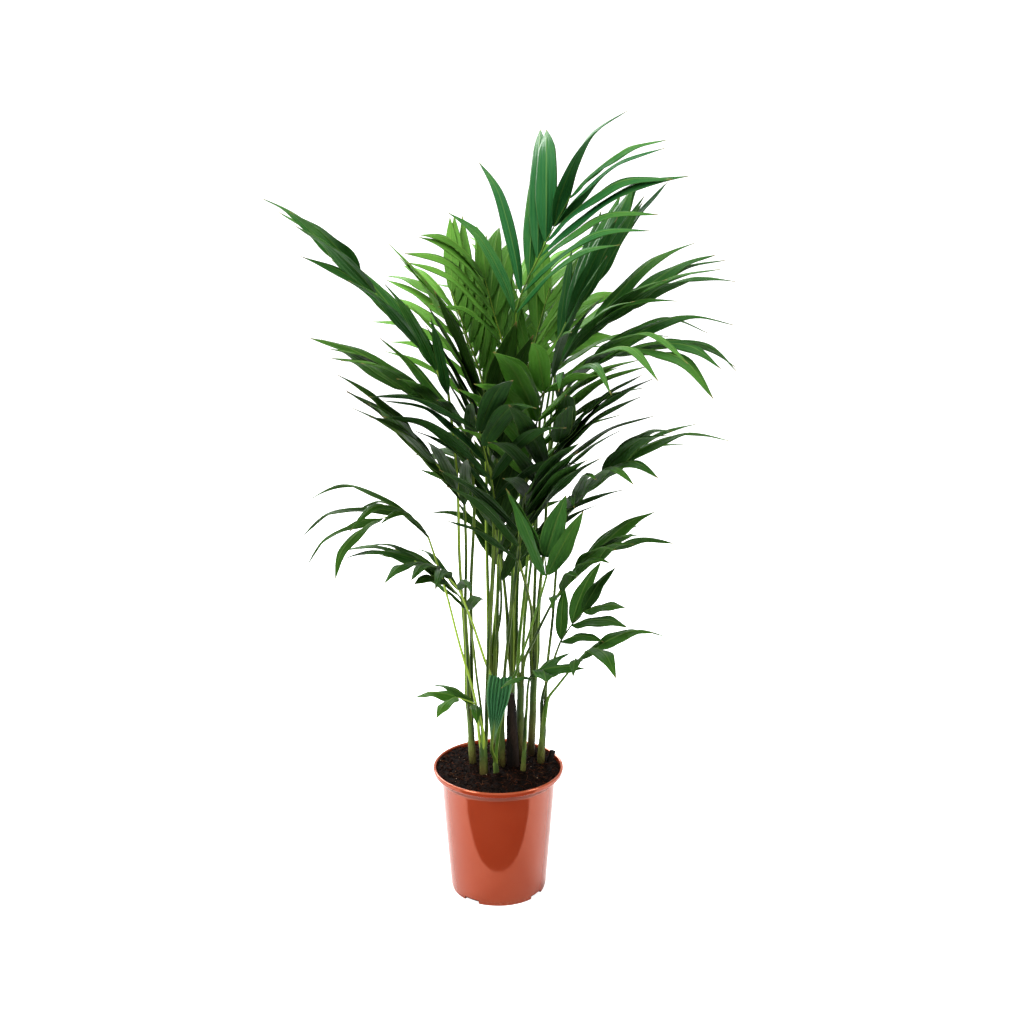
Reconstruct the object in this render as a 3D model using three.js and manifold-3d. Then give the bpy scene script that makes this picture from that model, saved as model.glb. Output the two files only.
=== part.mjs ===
// Potted kentia palm: several young palms grown together in one nursery pot.
// Millimetres, +Z up. The pot stands on z = 0 with its axis on the Z axis; the front is towards -Y.
import * as THREE from 'three';
import Module from 'manifold-3d';
import { OBB } from 'three/addons/math/OBB.js';
import { mergeVertices } from 'three/addons/utils/BufferGeometryUtils.js';

const wasm = await Module();
wasm.setup();

// ---------------------------------------------------------------- driving dimensions

const gap = 0.3; // air between two pieces that touch on the real plant

const pot = {
  height: 192,
  rimRadius: 95,
  lipHeight: 9, // the turned-down band under the rim's edge
  flareHeight: 8, // the wall flares out to the rim over this height, just under the lip
  rimThickness: 2.4,
  rimBead: 1.6, // how much the rim stands in from its own wall
  bodyTopRadius: 85,
  baseRadius: 70,
  ledgeHeight: 6, // the wall steps in below this height
  ledgeStep: 1.2,
  wall: 2.2,
  floor: 3,
  sides: 48,
};

// How far the corners of the rim's rounded section stand in from its outer edge and below its top.
const rimSection = {
  lipFoot: { inwards: 2.2, up: 1 },
  lipEdge: { inwards: 0.6, up: 2 },
  shoulder: { inwards: 1.2, down: 1.5 },
  inside: { step: 1, down: 0.6, up: 2 },
};

const drain = {
  cornerCount: 4,
  firstCorner: 55, // degrees from the front, counted towards +X
  cornerWidth: 25,
  cornerHeight: 6.5,
  cornerReach: 11, // how far each notch runs in under the floor's edge
  holeCount: 6,
  holeRadius: 5,
  holeCircle: 34,
  holeSides: 12,
};

const soil = {
  edgeHeight: 187,
  crownHeight: 193,
  plantingDepth: 24, // how deep the shoots stand in the compost
  rimClearance: 3, // from the rim's inside to the compost's edge
  ringShares: [0.66, 0.33], // where its domed top has its rings, as shares of its radius
  sides: 32,
};

const petiole = {
  footHalf: 2.15, // half the width of the leaf stalk where it leaves the shoot
  footSpacing: 7.4, // between the stalks that stand on one shoot
  footRise: 1, // from the shoot's top to the stalk's lower end
  kneeHalf: 1.85, // half its width at the first leaflets
  tipHalf: 0.9,
  midribFlatness: 0.65, // a midrib's height as a share of its width
  stalkSteps: 5,
  kneeAt: 3 / 5, // the knee is the fourth of the six points that the curve runs through
  rootAt: 0.06, // the stalk rises steeply first: this share of its way out ...
  rootRise: 0.16, // ... is reached at this share of its height
  middleAt: 0.5,
  middleRise: 0.56,
  nudgeAtKnee: 0.5, // the share of a sideways nudge that is left at the knee
  archStretch: 0.3, // how much an arch adds to a midrib's length, as a share of its height
};

const leaflet = {
  baseLength: 7, // length of rachis that one leaflet grows from
  ringPlaces: [0.25, 0.65], // where along its length a leaflet has a section
  ringWidths: [0.92, 0.86], // its width there, as a share of the full width
  thickness: 1.1,
  clearance: 0.35,
  louvre: 38, // degrees that each blade is tilted about its own length
  boxesPerStretch: 3,
  bendSteps: 20,
  bendPower: 1.7, // a leaflet bends down more and more towards its tip
  steepest: 0.05, // radians that are left between a hanging tip and straight down
  shortest: 0.72, // length of the first and last leaflets as a share of the longest
  profileStart: 0.15,
  profileSpan: 0.9,
};

// How much leaflets of one leaf differ: the least value and the spread above it.
const variety = {
  length: [0.9, 0.2],
  droop: [0.75, 0.5],
  width: [0.8, 0.1],
  middleWidth: 0.15, // how much wider the leaflets in the middle of a leaf are
  sweep: [-4, 8],
  lift: [-5, 10],
  seedStep: 7919,
  seedStart: 11,
};

// The shoots, by where they stand in the pot: foot on the compost, lean and height above it.
const shoots = {
  a: { foot: [-36, 7], top: [-42, 5, 292], radius: 5.6 },
  b: { foot: [-21, -24], top: [-22, -27, 252], radius: 6.4 },
  c: { foot: [-4, 26], top: [-8, 30, 352], radius: 6.0 },
  d: { foot: [6, -4], top: [4, -8, 276], radius: 5.2 },
  e: { foot: [20, 50], top: [20, 57, 360], radius: 5.8 },
  f: { foot: [31, 18], top: [33, 15, 330], radius: 6.2 },
  g: { foot: [47, 41], top: [53, 46, 340], radius: 5.8 },
  h: { foot: [61, 12], top: [67, 7, 282], radius: 5.6 },
  i: { foot: [0, -26], top: [-4, -32, 214], radius: 4.6 },
  j: { foot: [35, -16], top: [39, -22, 250], radius: 3.8 },
};

// The leaves. knee is where the first leaflets stand and tip is where the midrib ends; the stalk
// rises to the knee from the leaf's shoot. arch lifts the middle of the midrib above the straight
// line. pairs, length and width are the leaflets'; sweep is their angle from the midrib at the
// first and last pair; lift tilts them up from the leaf's plane, droop bends their ends down, and
// roll turns the whole leaf about its midrib.
const leaves = [
  { name: 'crown_right', shoot: 'e', knee: [24, 32, 846], tip: [100, 50, 1008], arch: 10, pairs: 8,
    length: 234, width: 29, sweep: [36, 16], lift: 16, droop: 60, roll: 34 },
  { name: 'broad_right', shoot: 'g', knee: [84, 50, 806], tip: [144, 62, 924], arch: 2, pairs: 6,
    length: 176, width: 31, sweep: [30, 21], lift: 6, droop: 12, roll: 0 },
  { name: 'crown_left', shoot: 'c', knee: [10, 60, 786], tip: [-18, 80, 892], arch: 2, pairs: 5,
    length: 172, width: 28, sweep: [32, 24], lift: 5, droop: 56, roll: 0 },
  { name: 'far_left', shoot: 'a', knee: [-66, -14, 744], tip: [-202, -38, 932], arch: 16, pairs: 8,
    length: 184, width: 29, sweep: [28, 18], lift: 10, droop: 26, roll: 0 },
  { name: 'arching_right', shoot: 'g', knee: [82, -40, 742], tip: [184, -84, 822], arch: 18, pairs: 8,
    length: 208, width: 25, sweep: [40, 18], lift: 6, droop: 70, roll: 0 },
  { name: 'upper_right', shoot: 'f', knee: [74, 4, 764], tip: [186, -16, 874], arch: 14, pairs: 8,
    length: 204, width: 26, sweep: [36, 18], lift: 10, droop: 40, roll: 0 },
  { name: 'upright_left', shoot: 'c', knee: [-20, 50, 742], tip: [-66, 104, 872], arch: 4, pairs: 8,
    length: 175, width: 27, sweep: [30, 20], lift: 4, droop: 10, roll: 0 },
  { name: 'upright_back', shoot: 'e', knee: [40, 90, 744], tip: [74, 130, 872], arch: 4, pairs: 7,
    length: 175, width: 27, sweep: [30, 20], lift: 4, droop: 12, roll: 0 },
  { name: 'middle_left', shoot: 'a', knee: [-36, -50, 690], tip: [-150, -96, 790], arch: 12, pairs: 8,
    length: 172, width: 27, sweep: [42, 20], lift: 8, droop: 32, roll: 0 },
  { name: 'inner_left', shoot: 'a', knee: [-44, -28, 592], tip: [-110, -62, 694], arch: 8, pairs: 6,
    length: 180, width: 31, sweep: [34, 20], lift: 4, droop: 30, roll: 0 },
  { name: 'low_left', shoot: 'b', knee: [-94, -34, 546], tip: [-160, -60, 584], arch: 22, pairs: 5,
    length: 178, width: 20, sweep: [32, 18], lift: -4, droop: 80, roll: 0 },
  { name: 'low_left_front', shoot: 'd', knee: [-52, -44, 474], tip: [-112, -84, 532], arch: 10, pairs: 5,
    length: 140, width: 21, sweep: [46, 22], lift: 2, droop: 62, roll: 0 },
  { name: 'low_left_small', shoot: 'b', knee: [-42, -20, 436], tip: [-84, -48, 500], arch: 8, pairs: 4,
    length: 115, width: 20, sweep: [44, 22], lift: 6, droop: 42, roll: 0 },
  { name: 'lowest_left', shoot: 'b', knee: [-30, -50, 306], tip: [-60, -66, 326], arch: 4, pairs: 2,
    length: 82, width: 22, sweep: [48, 34], lift: 0, droop: 60, roll: 0 },
  { name: 'lowest_right', shoot: 'h', knee: [110, -38, 366], tip: [140, -56, 396], arch: 6, pairs: 3,
    length: 125, width: 25, sweep: [48, 24], lift: 4, droop: 58, roll: 0 },
  { name: 'low_right', shoot: 'h', knee: [88, -16, 388], tip: [122, -24, 440], arch: 4, pairs: 3,
    length: 100, width: 23, sweep: [40, 24], lift: 6, droop: 34, roll: 46 },
  { name: 'front_fork', shoot: 'i', knee: [66, -96, 512], tip: [64, -104, 548], arch: 0, pairs: 2,
    length: 146, width: 32, sweep: [22, 22], lift: 0, droop: 8, roll: 0 },
  { name: 'front_low_right', shoot: 'f', knee: [76, -54, 462], tip: [134, -78, 536], arch: 8, pairs: 6,
    length: 145, width: 22, sweep: [42, 20], lift: 6, droop: 44, roll: 0 },
  { name: 'middle_right', shoot: 'h', knee: [92, -8, 566], tip: [172, -44, 662], arch: 10, pairs: 7,
    length: 195, width: 24, sweep: [42, 20], lift: 6, droop: 52, roll: 0 },
  { name: 'front_centre', shoot: 'd', knee: [40, -60, 640], tip: [62, -124, 776], arch: 10, pairs: 6,
    length: 178, width: 32, sweep: [36, 22], lift: 6, droop: 42, roll: 0 },
  { name: 'front_hanging', shoot: 'b', knee: [-4, -66, 610], tip: [-28, -136, 744], arch: 10, pairs: 6,
    length: 178, width: 32, sweep: [36, 22], lift: 6, droop: 46, roll: 0 },
  { name: 'inner_right', shoot: 'f', knee: [50, -46, 600], tip: [90, -104, 722], arch: 8, pairs: 6,
    length: 176, width: 32, sweep: [36, 22], lift: 8, droop: 36, roll: 0 },
  { name: 'inner_front', shoot: 'g', knee: [26, -52, 520], tip: [38, -116, 636], arch: 6, pairs: 6,
    length: 165, width: 32, sweep: [34, 22], lift: 6, droop: 30, roll: 0 },
  { name: 'inner_core', shoot: 'c', knee: [2, 0, 620], tip: [-20, -24, 770], arch: 6, pairs: 6,
    length: 185, width: 33, sweep: [28, 20], lift: 4, droop: 12, roll: 0 },
  { name: 'back_left', shoot: 'e', knee: [-20, 90, 700], tip: [-64, 206, 830], arch: 16, pairs: 7,
    length: 180, width: 28, sweep: [42, 20], lift: 8, droop: 46, roll: 0 },
  { name: 'back_centre', shoot: 'e', knee: [20, 106, 730], tip: [28, 222, 878], arch: 18, pairs: 7,
    length: 182, width: 28, sweep: [42, 20], lift: 8, droop: 46, roll: 0 },
  { name: 'back_right', shoot: 'g', knee: [60, 96, 690], tip: [100, 216, 810], arch: 16, pairs: 7,
    length: 172, width: 28, sweep: [42, 20], lift: 8, droop: 46, roll: 0 },
  { name: 'back_low', shoot: 'c', knee: [6, 88, 500], tip: [-22, 176, 606], arch: 12, pairs: 5,
    length: 150, width: 25, sweep: [44, 20], lift: 8, droop: 50, roll: 0 },
  { name: 'lowest_front', shoot: 'j', knee: [44, -58, 350], tip: [64, -78, 372], arch: 4, pairs: 2,
    length: 86, width: 32, sweep: [62, 34], lift: 8, droop: 34, roll: 0 },
  { name: 'young_forked', shoot: 'i', knee: [-9, -50, 236], tip: [-9, -52, 250], arch: 0, pairs: 1,
    length: 112, width: 19, sweep: [18, 18], lift: 0, droop: 1, roll: 0 },
  { name: 'low_core', shoot: 'c', knee: [2, 14, 470], tip: [-8, -6, 590], arch: 4, pairs: 4,
    length: 160, width: 30, sweep: [30, 20], lift: 0, droop: 8, roll: 0 },
  { name: 'low_back', shoot: 'e', knee: [20, 86, 450], tip: [14, 120, 560], arch: 4, pairs: 4,
    length: 160, width: 30, sweep: [30, 20], lift: 0, droop: 10, roll: 0 },
];

const finish = {
  pot: { color: 0xb4553a, roughness: 0.38 },
  soil: { color: 0x2a1b14, roughness: 0.95 },
  shoot: { color: 0x6f9a45, roughness: 0.55 },
  leaf: { color: 0x2f6b2c, roughness: 0.45 },
  dead: { color: 0x4a3324, roughness: 0.9 },
};

// ---------------------------------------------------------------- small helpers

const worldUp = new THREE.Vector3(0, 0, 1);
const degrees = THREE.MathUtils.degToRad;
const mergeDistance = 1e-4;
const palm = new THREE.Group();

function vector(list) {
  return new THREE.Vector3(...list);
}

// A repeatable random number maker, one for each leaf.
function makeRandom(seed) {
  const multiplier = 1664525;
  const increment = 1013904223;
  const modulus = 2 ** 32;
  let state = seed;
  return () => {
    state = (state * multiplier + increment) % modulus;
    return state / modulus;
  };
}

function solidFrom(geometry) {
  const bare = geometry.clone();
  bare.deleteAttribute('normal');
  bare.deleteAttribute('uv');
  const merged = mergeVertices(bare, mergeDistance);
  return new wasm.Manifold(new wasm.Mesh({
    numProp: 3,
    vertProperties: new Float32Array(merged.attributes.position.array),
    triVerts: new Uint32Array(merged.index.array),
  }));
}

function geometryFrom(solid) {
  const mesh = solid.getMesh();
  const geometry = new THREE.BufferGeometry();
  geometry.setAttribute('position', new THREE.BufferAttribute(new Float32Array(mesh.vertProperties), 3));
  geometry.setIndex(new THREE.BufferAttribute(new Uint32Array(mesh.triVerts), 1));
  geometry.computeVertexNormals();
  return geometry;
}

function addPiece(name, geometry, look) {
  const material = new THREE.MeshStandardMaterial({ ...look, metalness: 0 });
  const mesh = new THREE.Mesh(geometry, material);
  mesh.name = name;
  palm.add(mesh);
}

// A turned solid about the Z axis from (radius, height) points.
function turned(points, sides) {
  const profile = points.map(([radius, height]) => new THREE.Vector2(radius, height));
  return new THREE.LatheGeometry(profile, sides).rotateX(Math.PI / 2);
}

// ---------------------------------------------------------------- pot

function potWallRadius(height) {
  return THREE.MathUtils.mapLinear(height, 0, pot.height, pot.baseRadius, pot.bodyTopRadius);
}

function makePot() {
  const lipBottom = pot.height - pot.lipHeight;
  const flareFoot = lipBottom - pot.flareHeight;
  const innerTop = pot.rimRadius - pot.rimThickness - pot.rimBead;
  const { lipFoot, lipEdge, shoulder, inside } = rimSection;
  const outline = [
    [0, 0],
    [pot.baseRadius - pot.ledgeStep, 0],
    [pot.baseRadius - pot.ledgeStep, pot.ledgeHeight],
    [potWallRadius(pot.ledgeHeight), pot.ledgeHeight],
    [potWallRadius(flareFoot), flareFoot],
    [pot.rimRadius - lipFoot.inwards, lipBottom + lipFoot.up],
    [pot.rimRadius - lipEdge.inwards, lipBottom + lipEdge.up],
    [pot.rimRadius, pot.height - shoulder.down],
    [pot.rimRadius - shoulder.inwards, pot.height],
    [innerTop, pot.height - inside.down],
    [innerTop - inside.step, lipBottom + inside.up],
    [potWallRadius(flareFoot) - pot.wall, flareFoot],
    [potWallRadius(pot.floor) - pot.wall, pot.floor],
    [0, pot.floor],
  ];
  let body = solidFrom(turned(outline, pot.sides));
  for (let corner = 0; corner < drain.cornerCount; corner += 1) {
    const turn = degrees(drain.firstCorner + corner * 360 / drain.cornerCount - 90);
    const notch = new THREE.BoxGeometry(drain.cornerReach * 2, drain.cornerWidth, drain.cornerHeight * 2)
      .translate(pot.baseRadius, 0, 0)
      .rotateZ(turn);
    body = body.subtract(solidFrom(notch));
  }
  for (let hole = 0; hole < drain.holeCount; hole += 1) {
    const bore = new THREE.CylinderGeometry(drain.holeRadius, drain.holeRadius, pot.floor * 4, drain.holeSides)
      .rotateX(Math.PI / 2)
      .translate(drain.holeCircle, 0, 0)
      .rotateZ(hole * 2 * Math.PI / drain.holeCount);
    body = body.subtract(solidFrom(bore));
  }
  addPiece('nursery_pot', geometryFrom(body), finish.pot);
}

// ---------------------------------------------------------------- shoots and compost

function soilHeight(x, y) {
  const share = Math.min(1, Math.hypot(x, y) / pot.rimRadius);
  return THREE.MathUtils.lerp(soil.crownHeight, soil.edgeHeight, share * share);
}

const postForm = {
  rootShare: 0.8, // radius of a post's lower end as a share of its foot radius
  swellAt: 0.3, // share of its length at which it is thickest
  shootSides: 12,
  deadSides: 10,
};

// A round tapered post from foot to top, its lower end sunk into the compost.
function post(foot, top, footRadius, topRadius, sides, grow = 0) {
  const start = vector([foot[0], foot[1], soilHeight(foot[0], foot[1]) - soil.plantingDepth - grow]);
  const end = vector(top);
  const axis = end.clone().sub(start);
  const length = axis.length();
  const outline = [
    [0, 0],
    [(footRadius + grow) * postForm.rootShare, 0],
    [footRadius + grow, length * postForm.swellAt],
    [topRadius + grow, length],
    [0, length],
  ];
  const turn = new THREE.Quaternion().setFromUnitVectors(worldUp, axis.normalize());
  return turned(outline, sides).applyQuaternion(turn).translate(start.x, start.y, start.z);
}

const shootTopShare = 0.9; // top radius of a shoot as a share of its foot radius
const deadSheath = { foot: [22, 0], top: [19, -3, 305], footRadius: 6.4, topRadius: 4.4 };
const cutStub = { foot: [70, 16], top: [80, 21, 205], footRadius: 3.5, topRadius: 3 };

function makeShootsAndSoil() {
  const wallRadius = (height) => potWallRadius(height) - pot.wall - gap;
  const flareFoot = pot.height - pot.lipHeight - pot.flareHeight;
  const edge = pot.rimRadius - pot.rimThickness - soil.rimClearance;
  const dome = soil.ringShares.map((share) => [edge * share, soilHeight(edge * share, 0)]);
  let compost = solidFrom(turned([
    [0, pot.floor + gap],
    [wallRadius(pot.floor) - gap, pot.floor + gap],
    [wallRadius(flareFoot), flareFoot],
    [edge, pot.height - pot.lipHeight + rimSection.inside.up],
    [edge, soil.edgeHeight],
    ...dome,
    [0, soil.crownHeight],
  ], soil.sides));
  for (const [key, shoot] of Object.entries(shoots)) {
    const topRadius = shoot.radius * shootTopShare;
    const shape = (grow) => post(shoot.foot, shoot.top, shoot.radius, topRadius, postForm.shootSides, grow);
    compost = compost.subtract(solidFrom(shape(gap)));
    addPiece(`palm_${key}_shoot`, shape(0), finish.shoot);
  }
  for (const [name, piece] of [['dead_leaf_sheath', deadSheath], ['cut_stub', cutStub]]) {
    const { foot, top, footRadius, topRadius } = piece;
    const shape = (grow) => post(foot, top, footRadius, topRadius, postForm.deadSides, grow);
    compost = compost.subtract(solidFrom(shape(gap)));
    addPiece(name, shape(0), finish.dead);
  }
  addPiece('compost', geometryFrom(compost), finish.soil);
}

// ---------------------------------------------------------------- keeping pieces apart

const placedBoxes = [];

// The tightest box along one direction around a few points.
function boxAround(points, along, across, extra) {
  const x = along.clone().normalize();
  const y = across.clone().addScaledVector(x, -across.dot(x)).normalize();
  const z = x.clone().cross(y);
  const low = new THREE.Vector3(Infinity, Infinity, Infinity);
  const high = new THREE.Vector3(-Infinity, -Infinity, -Infinity);
  for (const point of points) {
    const local = new THREE.Vector3(point.dot(x), point.dot(y), point.dot(z));
    low.min(local);
    high.max(local);
  }
  const middle = low.clone().add(high).multiplyScalar(0.5);
  const half = high.clone().sub(low).multiplyScalar(0.5).addScalar(extra);
  const centre = new THREE.Vector3()
    .addScaledVector(x, middle.x)
    .addScaledVector(y, middle.y)
    .addScaledVector(z, middle.z);
  const turn = new THREE.Matrix3().set(x.x, y.x, z.x, x.y, y.y, z.y, x.z, y.z, z.z);
  return { shape: new OBB(centre, half, turn), reach: half.length() };
}

// Boxes along the stretch between two rings of four points each.
function boxesBetween(ringA, ringB, count, extra, owner) {
  const boxes = [];
  for (let part = 0; part < count; part += 1) {
    const near = ringA.map((point, i) => point.clone().lerp(ringB[i], part / count));
    const far = ringA.map((point, i) => point.clone().lerp(ringB[i], (part + 1) / count));
    const along = far[0].clone().add(far[2]).sub(near[0]).sub(near[2]);
    const oneEdge = far[1].clone().sub(far[0]).add(near[1]).sub(near[0]);
    const otherEdge = far[3].clone().sub(far[0]).add(near[3]).sub(near[0]);
    const across = oneEdge.length() > otherEdge.length() ? oneEdge : otherEdge;
    const box = boxAround([...near, ...far], along, across, extra);
    box.owner = owner;
    boxes.push(box);
  }
  return boxes;
}

function clashes(boxes, ignoredOwners) {
  for (const box of boxes) {
    for (const other of placedBoxes) {
      if (ignoredOwners.includes(other.owner)) continue;
      const reach = box.reach + other.reach;
      if (box.shape.center.distanceToSquared(other.shape.center) > reach * reach) continue;
      if (box.shape.intersectsOBB(other.shape)) return true;
    }
  }
  return false;
}

function keepShootsClear() {
  const posts = Object.entries(shoots)
    .map(([key, shoot]) => [`shoot_${key}`, shoot.foot, shoot.top, shoot.radius]);
  posts.push(['dead_sheath', deadSheath.foot, deadSheath.top, deadSheath.footRadius]);
  posts.push(['cut_stub', cutStub.foot, cutStub.top, cutStub.footRadius]);
  for (const [owner, foot, top, radius] of posts) {
    const start = vector([foot[0], foot[1], soil.edgeHeight - soil.plantingDepth]);
    const end = vector(top);
    const ring = (centre) => [[1, 1], [-1, 1], [-1, -1], [1, -1]]
      .map(([sx, sy]) => centre.clone().add(vector([sx * radius, sy * radius, 0])));
    placedBoxes.push(...boxesBetween(ring(start), ring(end), 1, 0, owner));
  }
}

// ---------------------------------------------------------------- leaf stalks and midribs

// Every order of a short list.
function ordersOf(list) {
  if (list.length <= 1) return [list];
  return list.flatMap((one) => ordersOf(list.filter((other) => other !== one))
    .map((rest) => [one, ...rest]));
}

// The bearing at which each leaf of one shoot stands on its top: evenly spread, in the order and
// turn that keep every stalk nearest to the side that it leans towards.
function stalkBearings(shootKey) {
  const top = shoots[shootKey].top;
  const family = leaves.filter((leaf) => leaf.shoot === shootKey);
  const wanted = (leaf) => Math.atan2(leaf.knee[1] - top[1], leaf.knee[0] - top[0]);
  let best = { cost: Infinity };
  for (const order of ordersOf(family)) {
    for (const first of family) {
      const bearings = order.map((_, place) => wanted(first) + place * 2 * Math.PI / family.length);
      const cost = order.reduce((sum, leaf, i) => sum + 1 - Math.cos(bearings[i] - wanted(leaf)), 0);
      if (cost < best.cost) best = { cost, order, bearings };
    }
  }
  return new Map(best.order.map((leaf, i) => [leaf, best.bearings[i]]));
}

const bearingsByShoot = Object.fromEntries(Object.keys(shoots).map((key) => [key, stalkBearings(key)]));

function stalkFoot(leaf) {
  const bearings = bearingsByShoot[leaf.shoot];
  const circle = bearings.size === 1 ? 0 : petiole.footSpacing / 2 / Math.sin(Math.PI / bearings.size);
  const turn = bearings.get(leaf);
  const offset = vector([circle * Math.cos(turn), circle * Math.sin(turn), petiole.footRise]);
  return vector(shoots[leaf.shoot].top).add(offset);
}

function leafCurve(leaf, nudge) {
  const foot = stalkFoot(leaf);
  const knee = vector(leaf.knee).addScaledVector(nudge, petiole.nudgeAtKnee);
  const tip = vector(leaf.tip);
  const rise = knee.z - foot.z;
  const lower = foot.clone().lerp(knee, petiole.rootAt).setZ(foot.z + rise * petiole.rootRise);
  const middle = foot.clone().lerp(knee, petiole.middleAt).setZ(foot.z + rise * petiole.middleRise).add(nudge);
  const ribMiddle = knee.clone().lerp(tip, 0.5).addScaledVector(worldUp, leaf.arch);
  return new THREE.CatmullRomCurve3([foot, lower, middle, knee, ribMiddle, tip], false, 'centripetal');
}

// Stations along the stalk and midrib; each has its place, its axes and its half width.
function spineStations(leaf, nudge) {
  const curve = leafCurve(leaf, nudge);
  const outward = vector(leaf.tip).sub(vector(leaf.knee)).setZ(0).normalize();
  const left = worldUp.clone().cross(outward);
  const { kneeAt } = petiole;
  const samples = [];
  for (let step = 0; step < petiole.stalkSteps; step += 1) {
    samples.push({ at: kneeAt * step / petiole.stalkSteps, opens: false });
  }
  const ribLength = vector(leaf.tip).distanceTo(vector(leaf.knee)) + leaf.arch * petiole.archStretch;
  const half = leaflet.baseLength / 2 / ribLength;
  for (let pair = 0; pair < leaf.pairs; pair += 1) {
    const share = leaf.pairs === 1 ? 0.5 : THREE.MathUtils.lerp(half, 1 - half, pair / (leaf.pairs - 1));
    samples.push({ at: kneeAt + (1 - kneeAt) * (share - half), opens: true });
    samples.push({ at: kneeAt + (1 - kneeAt) * (share + half), opens: false });
  }
  return samples.map(({ at, opens }) => {
    const centre = curve.getPoint(at);
    const along = curve.getTangent(at).normalize();
    const side = left.clone().applyAxisAngle(along, degrees(leaf.roll * Math.min(1, at / kneeAt)));
    side.addScaledVector(along, -side.dot(along)).normalize();
    const up = along.clone().cross(side);
    const halfWidth = at < kneeAt
      ? THREE.MathUtils.mapLinear(at, 0, kneeAt, petiole.footHalf, petiole.kneeHalf)
      : THREE.MathUtils.mapLinear(at, kneeAt, 1, petiole.kneeHalf, petiole.tipHalf);
    const halfHeight = halfWidth * THREE.MathUtils.lerp(1, petiole.midribFlatness, Math.min(1, at / kneeAt));
    return { centre, along, side, up, halfWidth, halfHeight, opens };
  });
}

function stationCorners(station) {
  const { centre, side, up, halfWidth, halfHeight } = station;
  return [[1, 1], [-1, 1], [-1, -1], [1, -1]].map(([across, above]) => centre.clone()
    .addScaledVector(side, across * halfWidth)
    .addScaledVector(up, above * halfHeight));
}

const nudgeReaches = [4, 8, 12, 16, 20];
const nudgeTurns = 8;
const boxesPerStalkStretch = 2;

// The first nudge of the stalk's middle that leaves it clear of every stalk placed before.
function placeSpine(leaf) {
  const nudges = [new THREE.Vector3()];
  for (const reach of nudgeReaches) {
    for (let turn = 0; turn < nudgeTurns; turn += 1) {
      const bearing = turn / nudgeTurns * 2 * Math.PI;
      nudges.push(vector([reach * Math.cos(bearing), reach * Math.sin(bearing), 0]));
    }
  }
  for (const nudge of nudges) {
    const stations = spineStations(leaf, nudge);
    const rings = stations.map(stationCorners);
    const boxes = rings.slice(1).flatMap((ring, i) => (
      boxesBetween(rings[i], ring, boxesPerStalkStretch, leaflet.clearance, leaf.name)));
    if (clashes(boxes, [`shoot_${leaf.shoot}`])) continue;
    placedBoxes.push(...boxes);
    return { leaf, stations, rings };
  }
  throw new Error(`no clear way for the stalk of ${leaf.name}`);
}

// ---------------------------------------------------------------- leaflets

// The rings and tip of one leaflet, worked out from the midrib station that it grows from.
function leafletRings(leaf, near, far, hand, share, size, change) {
  const start = near.centre.clone().lerp(far.centre, 0.5);
  const along = near.along.clone().lerp(far.along, 0.5).normalize();
  const side = near.side.clone().multiplyScalar(hand);
  const sweep = degrees(THREE.MathUtils.lerp(leaf.sweep[0], leaf.sweep[1], share) + change.sweep);
  const lift = degrees(leaf.lift + change.lift);
  const outward = side.clone().multiplyScalar(Math.cos(lift)).addScaledVector(near.up, Math.sin(lift));
  const heading = along.clone().multiplyScalar(Math.cos(sweep)).addScaledVector(outward, Math.sin(sweep));
  const length = size.length * change.length;
  const steps = leaflet.bendSteps;
  const bentBy = (share) => degrees(size.droop) * share ** leaflet.bendPower;
  const places = [...leaflet.ringPlaces, 1];
  const points = [];
  const headings = [];
  const point = start.clone().addScaledVector(side, near.halfWidth);
  for (let step = 1; step <= steps; step += 1) {
    const bend = bentBy(step / steps) - bentBy((step - 1) / steps);
    const room = heading.angleTo(worldUp.clone().negate());
    const axis = heading.clone().cross(worldUp.clone().negate()).normalize();
    heading.applyAxisAngle(axis, Math.min(bend, Math.max(0, room - leaflet.steepest)));
    point.addScaledVector(heading, length / steps);
    if (places.some((place) => Math.abs(place - step / steps) < mergeDistance)) {
      points.push(point.clone());
      headings.push(heading.clone());
    }
  }
  const rings = leaflet.ringPlaces.map((place, i) => {
    const direction = headings[i];
    const across = along.clone().addScaledVector(direction, -along.dot(direction)).normalize();
    across.applyAxisAngle(direction, degrees(leaflet.louvre + change.tilt) * hand);
    const face = direction.clone().cross(across).multiplyScalar(-hand);
    const halfWidth = leaf.width * size.width * leaflet.ringWidths[i] / 2;
    const corner = (a, b) => points[i].clone()
      .addScaledVector(across, a * halfWidth)
      .addScaledVector(face, b * leaflet.thickness / 2);
    return hand > 0
      ? [corner(-1, 1), corner(1, 1), corner(1, -1), corner(-1, -1)]
      : [corner(-1, 1), corner(-1, -1), corner(1, -1), corner(1, 1)];
  });
  return { rings, tip: points[points.length - 1] };
}

function leafletBoxes(base, shape, owner) {
  const end = shape.rings[1].map(() => shape.tip);
  const first = boxesBetween(base, shape.rings[0], leaflet.boxesPerStretch, leaflet.clearance, owner);
  const rest = [
    ...boxesBetween(shape.rings[0], shape.rings[1], leaflet.boxesPerStretch, leaflet.clearance, owner),
    ...boxesBetween(shape.rings[1], end, leaflet.boxesPerStretch, leaflet.clearance, owner),
  ];
  return { first, rest };
}

// Small changes of a leaflet's way, the smallest first, to find one that touches nothing.
const changeSteps = {
  length: [1, 0.86, 0.72, 0.6],
  lift: [0, 6, -6, 12, -12, 20, -20, 30, -30],
  sweep: [0, 5, -5, 10],
  tilt: [0, 12, -14],
};
const changeWeights = { length: 60, lift: 1, sweep: 0.8, tilt: 0.4 };
const changes = [];
for (const length of changeSteps.length) {
  for (const lift of changeSteps.lift) {
    for (const sweep of changeSteps.sweep) {
      for (const tilt of changeSteps.tilt) {
        changes.push({ length, lift, sweep, tilt });
      }
    }
  }
}
changes.sort((one, two) => changeCost(one) - changeCost(two));

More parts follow.
